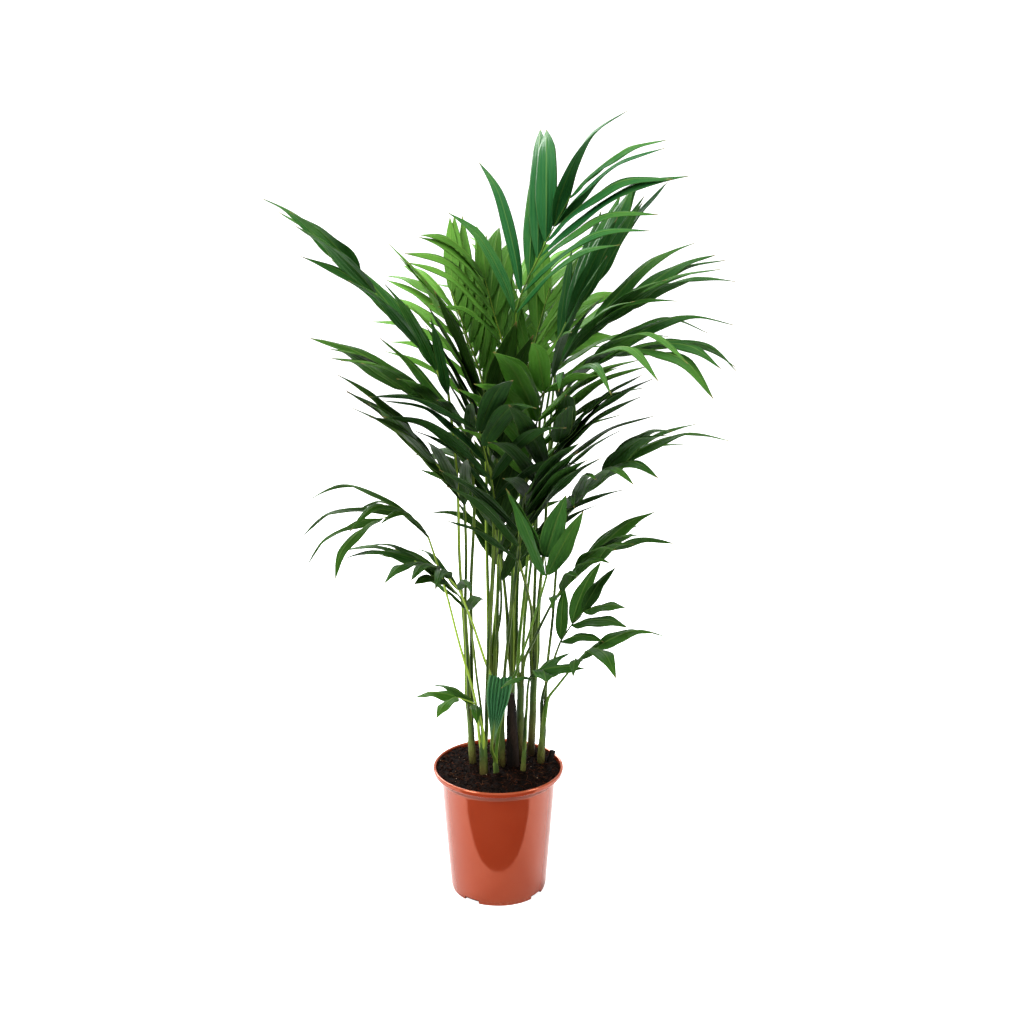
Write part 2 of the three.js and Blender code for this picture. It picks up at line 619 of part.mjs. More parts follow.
function changeCost(change) {
  return (1 - change.length) * changeWeights.length
    + Math.abs(change.lift) * changeWeights.lift
    + Math.abs(change.sweep) * changeWeights.sweep
    + Math.abs(change.tilt) * changeWeights.tilt;
}

function placeLeaflets(spine, random) {
  const { leaf, stations, rings } = spine;
  const grown = [];
  const pairs = stations.map((station, i) => (station.opens ? i : -1)).filter((i) => i >= 0);
  pairs.forEach((at, pair) => {
    const share = pairs.length === 1 ? 0.5 : pair / (pairs.length - 1);
    for (const hand of [1, -1]) {
      const inProfile = Math.min(1, share * leaflet.profileSpan + leaflet.profileStart);
      const profile = THREE.MathUtils.lerp(leaflet.shortest, 1, Math.sin(Math.PI * inProfile));
      const vary = ([least, spread]) => least + spread * random();
      const size = {
        length: leaf.length * profile * vary(variety.length),
        droop: leaf.droop * vary(variety.droop),
        width: vary(variety.width) + variety.middleWidth * Math.sin(Math.PI * share),
      };
      const wobble = { sweep: vary(variety.sweep), lift: vary(variety.lift) };
      const [near, far] = [rings[at], rings[at + 1]];
      const base = hand > 0
        ? [near[0], far[0], far[3], near[3]]
        : [near[1], near[2], far[2], far[1]];
      for (const change of changes) {
        const way = { ...change, sweep: change.sweep + wobble.sweep, lift: change.lift + wobble.lift };
        const shape = leafletRings(leaf, stations[at], stations[at + 1], hand, share, size, way);
        const owner = `${leaf.name}_${pair}`;
        const { first, rest } = leafletBoxes(base, shape, owner);
        if (clashes(first, [leaf.name, owner]) || clashes(rest, [])) continue;
        placedBoxes.push(...first, ...rest);
        grown.push({ at, hand, shape });
        break;
      }
    }
  });
  return grown;
}

// ---------------------------------------------------------------- one closed mesh for each leaf

function leafGeometry(spine, grown) {
  const positions = [];
  const faces = [];
  const addPoint = (point) => positions.push(point.x, point.y, point.z) / 3 - 1;
  const addQuad = (a, b, c, d) => faces.push(a, b, c, a, c, d);
  const tube = spine.rings.map((ring) => ring.map(addPoint));
  const last = tube.length - 1;
  const findGrown = (at, hand) => grown.find((one) => one.at === at && one.hand === hand);
  for (let i = 0; i < last; i += 1) {
    const [leftTop, rightTop, rightLow, leftLow] = tube[i];
    const [leftTopNext, rightTopNext, rightLowNext, leftLowNext] = tube[i + 1];
    addQuad(leftTop, rightTop, rightTopNext, leftTopNext);
    addQuad(leftLow, leftLowNext, rightLowNext, rightLow);
    const sides = {
      1: [leftTop, leftTopNext, leftLowNext, leftLow],
      '-1': [rightTop, rightLow, rightLowNext, rightTopNext],
    };
    for (const hand of [1, -1]) {
      const one = findGrown(i, hand);
      if (one) addLeaflet(sides[hand], one.shape, hand);
      else addQuad(...sides[hand]);
    }
  }
  addQuad(tube[0][0], tube[0][3], tube[0][2], tube[0][1]);
  addQuad(tube[last][0], tube[last][1], tube[last][2], tube[last][3]);

  function addLeaflet(base, shape, hand) {
    const underside = hand > 0 ? 2 : 1;
    let inner = base;
    for (const ring of shape.rings) {
      const outer = ring.map(addPoint);
      for (let k = 0; k < 4; k += 1) {
        const next = (k + 1) % 4;
        // the underside is split the other way round, so that it folds along the same line as the top
        if (k === underside) addQuad(inner[next], outer[next], outer[k], inner[k]);
        else addQuad(inner[k], inner[next], outer[next], outer[k]);
      }
      inner = outer;
    }
    const tip = addPoint(shape.tip);
    for (let k = 0; k < 4; k += 1) {
      faces.push(inner[k], inner[(k + 1) % 4], tip);
    }
  }

  const geometry = new THREE.BufferGeometry();
  geometry.setAttribute('position', new THREE.Float32BufferAttribute(positions, 3));
  geometry.setIndex(faces);
  geometry.computeVertexNormals();
  return geometry;
}

function makeLeaves() {
  keepShootsClear();
  const spines = leaves.map(placeSpine);
  spines.forEach((spine, i) => {
    const grown = placeLeaflets(spine, makeRandom(i * variety.seedStep + variety.seedStart));
    addPiece(`palm_${spine.leaf.shoot}_leaf_${spine.leaf.name}`, leafGeometry(spine, grown), finish.leaf);
  });
}

makePot();
makeShootsAndSoil();
makeLeaves();

export default palm;
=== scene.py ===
import math
import random

import bmesh
import bpy
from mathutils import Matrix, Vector, noise


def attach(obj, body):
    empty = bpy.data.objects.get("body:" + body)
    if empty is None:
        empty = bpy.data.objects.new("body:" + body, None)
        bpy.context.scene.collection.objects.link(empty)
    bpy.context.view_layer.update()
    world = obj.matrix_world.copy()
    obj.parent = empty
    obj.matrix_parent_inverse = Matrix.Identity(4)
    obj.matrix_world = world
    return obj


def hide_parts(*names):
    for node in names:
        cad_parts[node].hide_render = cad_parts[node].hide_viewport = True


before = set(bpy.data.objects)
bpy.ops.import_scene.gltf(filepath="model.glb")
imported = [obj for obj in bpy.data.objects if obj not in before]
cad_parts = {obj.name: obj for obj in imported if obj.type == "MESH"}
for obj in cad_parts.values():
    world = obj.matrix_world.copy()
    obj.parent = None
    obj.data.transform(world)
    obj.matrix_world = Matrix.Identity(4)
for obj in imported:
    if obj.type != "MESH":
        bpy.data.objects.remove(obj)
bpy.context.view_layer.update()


# node wiring helpers

class Flow:
    # what comes out of a socket; arithmetic on it adds math nodes to its tree
    def __init__(self, socket):
        self.socket = socket
        self.tree = socket.id_data

    def __abs__(self):
        return calc("ABSOLUTE", self)


def addOperator(word, operation):
    # the second form answers when the flow stands on the right of a plain number
    setattr(Flow, "__" + word + "__", lambda flow, other: calc(operation, flow, other))
    setattr(Flow, "__r" + word + "__", lambda flow, other: calc(operation, other, flow))


for word, operation in (("add", "ADD"), ("sub", "SUBTRACT"), ("mul", "MULTIPLY"), ("truediv", "DIVIDE"),
                        ("pow", "POWER"), ("gt", "GREATER_THAN"), ("lt", "LESS_THAN")):
    addOperator(word, operation)


def openSocket(sockets, name):
    # first usable socket of that name, or the usable socket at that number
    usable = [s for s in sockets if not s.is_unavailable]
    return usable[name] if isinstance(name, int) else next(s for s in usable if s.name == name)


def feed(made, feeds):
    # links or sets the named inputs of a node
    for name, value in feeds.items():
        socket = openSocket(made.inputs, name)
        if isinstance(value, Flow):
            made.id_data.links.new(value.socket, socket)
        else:
            socket.default_value = value
    return made


def addNode(tree, kind, feeds=None, **settings):
    made = tree.nodes.new(kind)
    for key, value in settings.items():
        setattr(made, key, value)
    return feed(made, feeds or {})


def out(made, name=0):
    return Flow(openSocket(made.outputs, name))


def nodeOut(tree, kind, feeds=None, **settings):
    return out(addNode(tree, kind, feeds, **settings))


def outputsOf(made):
    return {socket.name: Flow(socket) for socket in made.outputs if socket.name}


def calc(operation, *values):
    tree = next(value.tree for value in values if isinstance(value, Flow))
    return nodeOut(tree, "ShaderNodeMath", dict(enumerate(values)), operation=operation)


def sine(value):
    return calc("SINE", value)


def cosine(value):
    return calc("COSINE", value)


def scaled(vector, factor):
    return nodeOut(vector.tree, "ShaderNodeVectorMath", {0: vector, "Scale": factor}, operation="SCALE")


def added(a, b):
    return nodeOut(a.tree, "ShaderNodeVectorMath", {0: a, 1: b}, operation="ADD")


def ramp(value, low, high, toLow=0.0, toHigh=1.0, smooth=True):
    return nodeOut(value.tree, "ShaderNodeMapRange",
                   {"Value": value, "From Min": low, "From Max": high, "To Min": toLow, "To Max": toHigh},
                   interpolation_type="SMOOTHSTEP" if smooth else "LINEAR")


def curveThrough(value, points):
    made = addNode(value.tree, "ShaderNodeFloatCurve", {"Value": value})
    line = made.mapping.curves[0]
    for x, y in points[1:-1]:
        line.points.new(x, y)
    line.points[0].location = points[0]
    line.points[-1].location = points[-1]
    made.mapping.update()
    return out(made)


# geometry tree helpers

socketKinds = {float: "NodeSocketFloat", int: "NodeSocketInt", "material": "NodeSocketMaterial"}
thinRing = 0.002


def newTree(name, inputs):
    # geometry tree with one geometry input and output and the named inputs
    tree = bpy.data.node_groups.new(name, "GeometryNodeTree")
    tree.interface.new_socket("Geometry", in_out="INPUT", socket_type="NodeSocketGeometry")
    for label, kind in inputs.items():
        tree.interface.new_socket(label, in_out="INPUT", socket_type=socketKinds[kind])
    tree.interface.new_socket("Geometry", in_out="OUTPUT", socket_type="NodeSocketGeometry")
    return tree, outputsOf(tree.nodes.new("NodeGroupInput"))


def readNumber(tree, name):
    return nodeOut(tree, "GeometryNodeInputNamedAttribute", {"Name": name}, data_type="FLOAT")


def readVector(tree, name):
    return nodeOut(tree, "GeometryNodeInputNamedAttribute", {"Name": name}, data_type="FLOAT_VECTOR")


def keep(geometry, name, value, kind="FLOAT", domain="POINT"):
    return nodeOut(geometry.tree, "GeometryNodeStoreNamedAttribute",
                   {"Geometry": geometry, "Name": name, "Value": value}, data_type=kind, domain=domain)


def evenLine(mesh, feeds, mode, smooth=True):
    # a chain of edges as a curve of even points, each of which remembers its spot
    line = nodeOut(mesh.tree, "GeometryNodeMeshToCurve", {"Mesh": mesh})
    if smooth:
        line = nodeOut(mesh.tree, "GeometryNodeCurveSplineType", {"Curve": line}, spline_type="CATMULL_ROM")
    line = nodeOut(mesh.tree, "GeometryNodeResampleCurve", {"Curve": line, **feeds}, mode=mode)
    return keep(line, "spot", nodeOut(mesh.tree, "GeometryNodeInputPosition"), "FLOAT_VECTOR")


def circle(tree, sides, radius=thinRing):
    return nodeOut(tree, "GeometryNodeCurvePrimitiveCircle", {"Resolution": sides, "Radius": radius}, mode="RADIUS")


def swept(line, section):
    return nodeOut(line.tree, "GeometryNodeCurveToMesh", {"Curve": line, "Profile Curve": section, "Fill Caps": True})


def setOut(geometry, aside, up, ahead=None):
    # puts each point at its spot and then so far along its own side, face and ahead ways
    tree = geometry.tree
    place = added(readVector(tree, "spot"), added(scaled(readVector(tree, "sideWay"), aside),
                                                  scaled(readVector(tree, "faceWay"), up)))
    if ahead is not None:
        place = added(place, scaled(readVector(tree, "aheadWay"), ahead))
    return nodeOut(tree, "GeometryNodeSetPosition", {"Geometry": geometry, "Position": place})


def realized(tree, parts):
    whole = addNode(tree, "GeometryNodeJoinGeometry")
    for part in parts:
        tree.links.new(part.socket, whole.inputs[0])
    smooth = nodeOut(tree, "GeometryNodeSetShadeSmooth", {"Geometry": out(whole)})
    return nodeOut(tree, "GeometryNodeRealizeInstances", {"Geometry": smooth})


def dressed(geometry, material, selection=True):
    return nodeOut(geometry.tree, "GeometryNodeSetMaterial",
                   {"Geometry": geometry, "Selection": selection, "Material": material})


def addObject(name, data):
    made = bpy.data.objects.new(name, data)
    bpy.context.scene.collection.objects.link(made)
    return made


def grow(name, start, tree, values):
    # runs a geometry tree on a start mesh and keeps the result as one plain mesh
    holder = addObject(name + "_start", start)
    modifier = holder.modifiers.new("grow", "NODES")
    modifier.node_group = tree
    for item in tree.interface.items_tree:
        if item.item_type == "SOCKET" and item.in_out == "INPUT" and item.name in values:
            modifier[item.identifier] = values[item.name]
    bpy.context.view_layer.update()
    graph = bpy.context.evaluated_depsgraph_get()
    mesh = bpy.data.meshes.new_from_object(holder.evaluated_get(graph), preserve_all_data_layers=True,
                                           depsgraph=graph)
    mesh.name = name
    bpy.data.objects.remove(holder)
    return mesh


def writeFacts(mesh, numbers, ways):
    # a number or a direction on each point, for the growing tree to read
    for name, values in numbers.items():
        mesh.attributes.new(name, "FLOAT", "POINT").data.foreach_set("value", values)
    for name, values in ways.items():
        flat = [number for way in values for number in way]
        mesh.attributes.new(name, "FLOAT_VECTOR", "POINT").data.foreach_set("vector", flat)


def tidied(mesh):
    # makes every closed shell of the mesh face outwards
    shell = bmesh.new()
    shell.from_mesh(mesh)
    bmesh.ops.recalc_face_normals(shell, faces=shell.faces)
    shell.to_mesh(mesh)
    shell.free()
    return mesh


def showPiece(name, mesh, nodes, slot):
    piece = addObject(name, mesh)
    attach(piece, "root")
    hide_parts(*nodes)
    return piece


# camera, floor and lights

view = {"place": (0.020, -2.15, 1.1946), "tilt": 73.964, "lens": 56.34, "film": 36}


def setCamera():
    camera = addObject("camera", bpy.data.cameras.new("camera"))
    camera.location = view["place"]
    camera.rotation_euler = (math.radians(view["tilt"]), 0, 0)
    camera.data.lens = view["lens"]
    camera.data.sensor_width = view["film"]
    bpy.context.scene.camera = camera


studio = {
    "floorSize": 9.0, "wallHeight": 5.0, "bend": 1.2, "bendSteps": 12,
    "white": (0.95, 0.95, 0.95, 1), "paperRough": 0.8,
    "skyStrength": 0.34, "roomGlow": 0.88, "paperGlow": 0.70,
    # name: place, aims at, width, height, watts
    "lights": {
        "left_box": ((-2.0, -1.6, 2.1), (0, 0, 0.6), 1.0, 1.8, 105),
        "right_box": ((2.2, -1.0, 1.6), (0, 0, 0.5), 0.8, 1.8, 45),
        "top_box": ((0.1, 0.1, 3.0), (0, 0, 0.6), 1.4, 1.4, 70),
        "back_box": ((-0.9, 1.8, 1.9), (0, 0, 0.8), 1.4, 1.2, 85),
    },
    # a grey card just in front of the pot, seen only by what reflects it
    "card": {"near": -0.150, "far": -0.62, "half": 0.60, "height": 0.001, "grey": (0.05, 0.045, 0.045, 1),
             "rough": 0.9},
}


def plainMaterial(name, colour, rough):
    material = bpy.data.materials.new(name)
    material.use_nodes = True
    feed(material.node_tree.nodes["Principled BSDF"], {"Base Color": colour, "Roughness": rough})
    return material


def seenByCamera(tree):
    return out(addNode(tree, "ShaderNodeLightPath"), "Is Camera Ray")


def setStudio():
    # one sweep: floor, a wide bend, then the wall behind
    half = studio["floorSize"] / 2
    bend = studio["bend"]
    line = [(-half, 0.0)]
    for step in range(studio["bendSteps"] + 1):
        turn = step / studio["bendSteps"] * math.pi / 2
        line.append((half - bend + bend * math.sin(turn), bend - bend * math.cos(turn)))
    line.append((half, studio["wallHeight"]))
    mesh = bpy.data.meshes.new("sweep")
    points = [(x, y, z) for x in (-half * 1.6, half * 1.6) for y, z in line]
    count = len(line)
    faces = [(i, count + i, count + i + 1, i + 1) for i in range(count - 1)]
    mesh.from_pydata(points, [], faces)
    mesh.polygons.foreach_set("use_smooth", [True] * len(faces))
    paper = plainMaterial("white_paper", studio["white"], studio["paperRough"])
    # the paper glows for the camera alone, so that it goes out to plain white
    feed(paper.node_tree.nodes["Principled BSDF"],
         {"Emission Color": (1, 1, 1, 1), "Emission Strength": seenByCamera(paper.node_tree) * studio["paperGlow"]})
    mesh.materials.append(paper)
    addObject("sweep", mesh)

    world = bpy.data.worlds.new("studio")
    world.use_nodes = True
    # the room looks pale to the camera, whichever way it looks
    glow = ramp(seenByCamera(world.node_tree), 0.0, 1.0, studio["skyStrength"], studio["roomGlow"])
    feed(world.node_tree.nodes["Background"], {"Color": (1, 1, 1, 1), "Strength": glow})
    bpy.context.scene.world = world

    for name, (place, aim, width, height, watts) in studio["lights"].items():
        lamp = bpy.data.lights.new(name, "AREA")
        lamp.shape = "RECTANGLE"
        lamp.size = width
        lamp.size_y = height
        lamp.energy = watts
        box = addObject(name, lamp)
        box.location = place
        box.rotation_euler = (Vector(aim) - Vector(place)).to_track_quat("-Z", "Y").to_euler()


def setCard():
    card = studio["card"]
    half, far, near, height = card["half"], card["far"], card["near"], card["height"]
    mesh = bpy.data.meshes.new("front_card")
    corners = [(-half, far, height), (half, far, height), (half, near, height), (-half, near, height)]
    mesh.from_pydata(corners, [], [(0, 1, 2, 3)])
    mesh.materials.append(plainMaterial("card_grey", card["grey"], card["rough"]))
    flag = addObject("front_card", mesh)
    flag.visible_camera = flag.visible_diffuse = flag.visible_shadow = False
    flag.visible_transmission = False


setCamera()
setStudio()
setCard()
bpy.context.scene.view_settings.view_transform = "Standard"
print("studio ready")


# material helpers

def newMaterial(name):
    material = bpy.data.materials.new(name)
    material.use_nodes = True
    material.node_tree.nodes.clear()
    return material, material.node_tree


def attributesOf(tree, *names):
    return [out(addNode(tree, "ShaderNodeAttribute", attribute_name=name), "Fac") for name in names]


def objectPlace(tree):
    return out(addNode(tree, "ShaderNodeTexCoord"), "Object")


def speckle(place, scale, detail, rough):
    return out(addNode(place.tree, "ShaderNodeTexNoise",
                       {"Vector": place, "Scale": scale, "Detail": detail, "Roughness": rough}), "Fac")


def painted(base, *layers):
    # lays colours over one another, each by its own share
    for share, colour in layers:
        base = out(addNode(share.tree, "ShaderNodeMix", {"Factor": share, "A": base, "B": colour},
                           data_type="RGBA", blend_type="MIX"), "Result")
    return base


def squeezed(place, upright):
    # draws a pattern out along the plant's height
    return nodeOut(place.tree, "ShaderNodeMapping", {"Vector": place, "Scale": (1.0, 1.0, upright)})


def bumped(height, distance, strength, **under):
    return nodeOut(height.tree, "ShaderNodeBump",
                   {"Height": height, "Distance": distance, "Strength": strength, **under})


def surfaced(material, base, rough, normal, rest):
    # one Principled shader: patterned colour, roughness and normal, and plain values for the rest
    shader = addNode(material.node_tree, "ShaderNodeBsdfPrincipled",
                     {"Base Color": base, "Roughness": rough, "Normal": normal, **rest})
    addNode(material.node_tree, "ShaderNodeOutputMaterial", {"Surface": out(shader)})
    return material


def newShaderGroup(name, inputs, outputs):
    group = bpy.data.node_groups.new(name, "ShaderNodeTree")
    for label, kind in inputs.items():
        group.interface.new_socket(label, in_out="INPUT", socket_type=kind)
    for label in outputs:
        group.interface.new_socket(label, in_out="OUTPUT", socket_type="NodeSocketFloat")
    return group, outputsOf(group.nodes.new("NodeGroupInput"))


def makeMottle():
    # soft blotches with finer grain in them; used by leaves, stalks, shoots and pot
    group, inside = newShaderGroup("mottle", {"Place": "NodeSocketVector", "Size": "NodeSocketFloat",
                                              "Grain": "NodeSocketFloat"}, ["Blotch", "Fine"])
    broad = speckle(inside["Place"], inside["Size"], 3.0, 0.5)
    fine = speckle(inside["Place"], inside["Grain"], 4.0, 0.65)
    addNode(group, "NodeGroupOutput", {"Blotch": ramp(broad, 0.32, 0.68), "Fine": fine})
    return group


mottle = makeMottle()


def mottled(place, size, grain):
    made = addNode(place.tree, "ShaderNodeGroup", {"Place": place, "Size": size, "Grain": grain}, node_tree=mottle)
    return out(made, "Blotch"), out(made, "Fine")


# leaves: reading the frame's leaf skeletons

def otherEnds(vert):
    return [edge.other_vert(vert) for edge in vert.link_edges]


def closestPairs(ring):
    a, b, c, d = ring
    options = [((a, b), (c, d)), ((a, c), (b, d)), ((a, d), (b, c))]
    return min(options, key=lambda pair: (pair[0][0].co - pair[0][1].co).length
               + (pair[1][0].co - pair[1][1].co).length)


def middle(verts):
    return sum((v.co for v in verts), Vector()) / len(verts)


def stepInwards(ring, taken):
    return list({v.index: v for r in ring for v in otherEnds(r) if v.index not in taken}.values())


def readLeaflets(shell):
    # each leaflet as a list of (near margin, far margin) from its foot to its tip
    leaflets = []
    taken = set()
    for tip in shell.verts:
        ring = otherEnds(tip)
        if len(ring) != 4 or min((v.co - tip.co).length for v in ring) < 0.012:
            continue
        pairs = closestPairs(ring)
        if max((a.co - b.co).length for a, b in pairs) > 0.0016:
            continue
        seen = {tip.index} | {v.index for v in ring}
        sections = [[middle(pair) for pair in pairs]]
        while True:
            inner = stepInwards(ring, seen)
            if len(inner) != 4:
                break
            last = sections[-1]
            margins = [middle(pair) for pair in closestPairs(inner)]
            if (margins[0] - last[0]).length + (margins[1] - last[1]).length > \
                    (margins[1] - last[0]).length + (margins[0] - last[1]).length:
                margins.reverse()
            sections.append(margins)
            if len(sections) == 3:
                break
            seen |= {v.index for v in inner}
            ring = inner
        if len(sections) != 3:
            continue
        taken |= seen
        leaflets.append((sections[::-1], tip.co.copy()))
    return leaflets, taken


def readSpine(shell, taken):
    # ring centres and half widths along the stalk and midrib, foot first
    tube = {v.index: v for v in shell.verts if v.index not in taken}
    lowest = min(tube.values(), key=lambda v: v.co.z)
    ring = sorted(tube.values(), key=lambda v: (v.co - lowest.co).length + 4 * (v.co.z - lowest.co.z))[:4]
    seen = set()
    stations = []
    while len(ring) == 4:
        centre = middle(ring)
        stations.append((centre, max((v.co - centre).length for v in ring) * 0.72))
        seen |= {v.index for v in ring}
        ring = [v for v in stepInwards(ring, seen) if v.index in tube]
    return stations


def welded(nodeName):
    shell = bmesh.new()
    shell.from_mesh(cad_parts[nodeName].data)
    bmesh.ops.remove_doubles(shell, verts=shell.verts, dist=0.00002)
    shell.verts.ensure_lookup_table()
    shell.verts.index_update()
    return shell


def squareTo(vector, along):
    flat = vector - along * vector.dot(along)
    return flat.normalized() if flat.length > 1e-6 else Vector((1, 0, 0))


def readPost(nodeName):
    # foot, top and their radii of one round post of the frame
    shell = welded(nodeName)
    poles = sorted((v for v in shell.verts if len(v.link_edges) >= 9), key=lambda v: v.co.z)
    foot, top = poles[0].co.copy(), poles[-1].co.copy()
    axis = (top - foot).normalized()
    reach = [(v.co - foot).dot(axis) for v in shell.verts]
    radii = [squareLength(v.co - foot, axis) for v in shell.verts]
    length = (top - foot).length
    footRadius = max(r for r, d in zip(radii, reach) if d < length * 0.5)
    topRadius = max(r for r, d in zip(radii, reach) if d > length * 0.9)
    shell.free()
    return foot, top, footRadius, topRadius


def squareLength(vector, along):
    return (vector - along * vector.dot(along)).length


# leaves: the growing tree

leafShape = {
    "pointsAlong": 26,
    "columns": 14,
    "fold": 0.26,
    "pleats": 5.0,
    "pleatDepth": 0.0007,
    "ripple": 0.0016,
    "fork": 0.0,
    "thickness": 0.00035,
    "stalkStep": 0.006,
    "ribHeight": 0.0007, "waves": 13.0, "waveShift": 40.0, "waveLean": 1.2, "stalkSides": 12, "grooveDepth": 0.45,
    # against the frame's leaf: broader blades, a stouter stalk foot, a slimmer tip
    "broader": 1.20, "stoutFoot": 1.40, "stoutTip": 0.95,
    # how far the stalk runs down into its shoot
    "sunk": 0.060,
    # share of the full width at each place along a leaflet
    "outline": [(0.0, 0.16), (0.05, 0.42), (0.16, 0.80), (0.36, 1.0), (0.60, 0.86), (0.80, 0.50), (0.93, 0.20),
                (1.0, 0.03)],
}


def makeLeafTree(name, outline):
    tree, given = newTree(name, {
        "pointsAlong": int, "columns": int, "fold": float, "pleats": float, "pleatDepth": float, "fork": float,
        "ripple": float, "thickness": float, "stalkStep": float, "blade": "material", "stalk": "material"})
    isBlade = readNumber(tree, "isBlade") > 0.5
    parts = addNode(tree, "GeometryNodeSeparateGeometry", {"Geometry": given["Geometry"], "Selection": isBlade},
                    domain="POINT")

    # blades: every leaflet's centre line becomes a curve, then a thin closed skin
    line = evenLine(out(parts, "Selection"), {"Count": given["pointsAlong"]}, "COUNT")
    share = nodeOut(tree, "GeometryNodeInputIndex") / given["columns"]
    section = keep(circle(tree, given["columns"] * 2.0), "across", 1.0 - 2.0 * abs(share - 1.0))
    section = keep(section, "onTop", (share < 1.0) - (share > 1.0))
    blades = swept(line, section)

    across, along, tone, onTop, halfWidth = [readNumber(tree, name) for name in
                                             ("across", "along", "tone", "onTop", "halfWidth")]
    far = abs(across)
    widthShare = curveThrough(along, outline)
    half = halfWidth * widthShare
    foldHere = given["fold"] * ramp(along, 0.0, 0.45, 1.5, 0.75)
    drop = far * half * foldHere
    pleat = cosine(across * math.pi * given["pleats"]) * (given["pleatDepth"] * widthShare)
    wavePhase = along * leafShape["waves"] + tone * leafShape["waveShift"]
    wave = sine(wavePhase + across * leafShape["waveLean"]) * (given["ripple"] * (far ** 2.0 * widthShare))
    skin = onTop * (given["thickness"] * calc("SQRT", 1.02 - far ** 2.0))
    rib = ramp(far, 0.0, 0.16, 1.0, 0.0) * leafShape["ribHeight"] * widthShare
    lift = pleat + wave + (skin + rib) - drop
    reach = across * half * (1.0 - foldHere ** 2.0 * 0.3)
    # a forked blade is cut back in its middle
    cutBack = (1.0 - far) ** 1.4 * ramp(along, 0.45, 1.0, 0.0, -1.0) * given["fork"]
    blades = setOut(blades, reach, lift, cutBack)

    # stalk and midrib: a grooved rod along the spine
    rod = evenLine(out(parts, "Inverted"), {"Length": given["stalkStep"]}, "LENGTH")
    turn = nodeOut(tree, "GeometryNodeInputIndex") * (math.pi * 2 / leafShape["stalkSides"])
    ring = keep(keep(circle(tree, leafShape["stalkSides"]), "across", cosine(turn)), "onTop", sine(turn))
    groove = ramp(far, 0.0, 0.7, leafShape["grooveDepth"], 0.0) * halfWidth * (onTop > 0.1)
    stalk = setOut(swept(rod, ring), across * halfWidth, (onTop * halfWidth - groove) * 0.85)

    skinned = dressed(realized(tree, [blades, stalk]), given["stalk"])
    addNode(tree, "NodeGroupOutput", {0: dressed(skinned, given["blade"], isBlade)})
    return tree


leafLook = {
    "deep": (0.0040, 0.0165, 0.0022, 1),
    "middle": (0.024, 0.084, 0.006, 1),
    "fresh": (0.122, 0.305, 0.040, 1),
    "blue": (0.002, 0.098, 0.033, 1),
    "sheen": (0.55, 1.0, 0.50, 1),
    "rib": (0.26, 0.40, 0.08, 1),
    "dryTip": (0.30, 0.20, 0.07, 1),
    "under": (0.035, 0.095, 0.015, 1),
    "throughLight": (0.22, 0.50, 0.03, 1),
    "paleFoot": (0.30, 0.48, 0.22, 1),
    "toneSpread": 0.26, "blotchSpread": 0.10, "tipAge": 0.15, "middleAge": 0.42,
    "blueShare": 0.75, "underShare": 0.14, "marginShare": 0.22, "lightShare": 0.28,
    "specular": 0.17, "stemSpecular": 0.22,
}

bladeLook = {"veinCount": 44.0, "veinShare": 0.10, "veinTint": (0.135, 0.330, 0.024, 1), "ribShare": 0.24,
             "paleFoot": 0.0, "dryShare": 0.8}

youngLook = {"veinCount": 61.0, "veinShare": 0.75, "veinTint": (0.085, 0.255, 0.120, 1), "ribShare": 0.0,
             "paleFoot": 0.85, "dryShare": 0.0}


def makeVeins():
    # parallel veins, the pale rib down the middle and the thin margin of one leaflet
    group, inside = newShaderGroup("leaf_veins", dict.fromkeys(["Across", "Count", "Wander"], "NodeSocketFloat"),
                                   ["Rib", "Veins", "Margin"])
    across, count = inside["Across"], inside["Count"]
    far = abs(across)
    waved = across + (inside["Wander"] - 0.5) * 0.05
    stripe = sine(waved * count)
    broad = sine(waved * (count * 0.36))
    addNode(group, "NodeGroupOutput", {"Rib": ramp(far, 0.03, 0.10, 1.0, 0.0), "Margin": ramp(far, 0.90, 0.985),
                                       "Veins": stripe * 0.25 + broad * 0.25 + 0.5})
    return group


leafVeins = makeVeins()


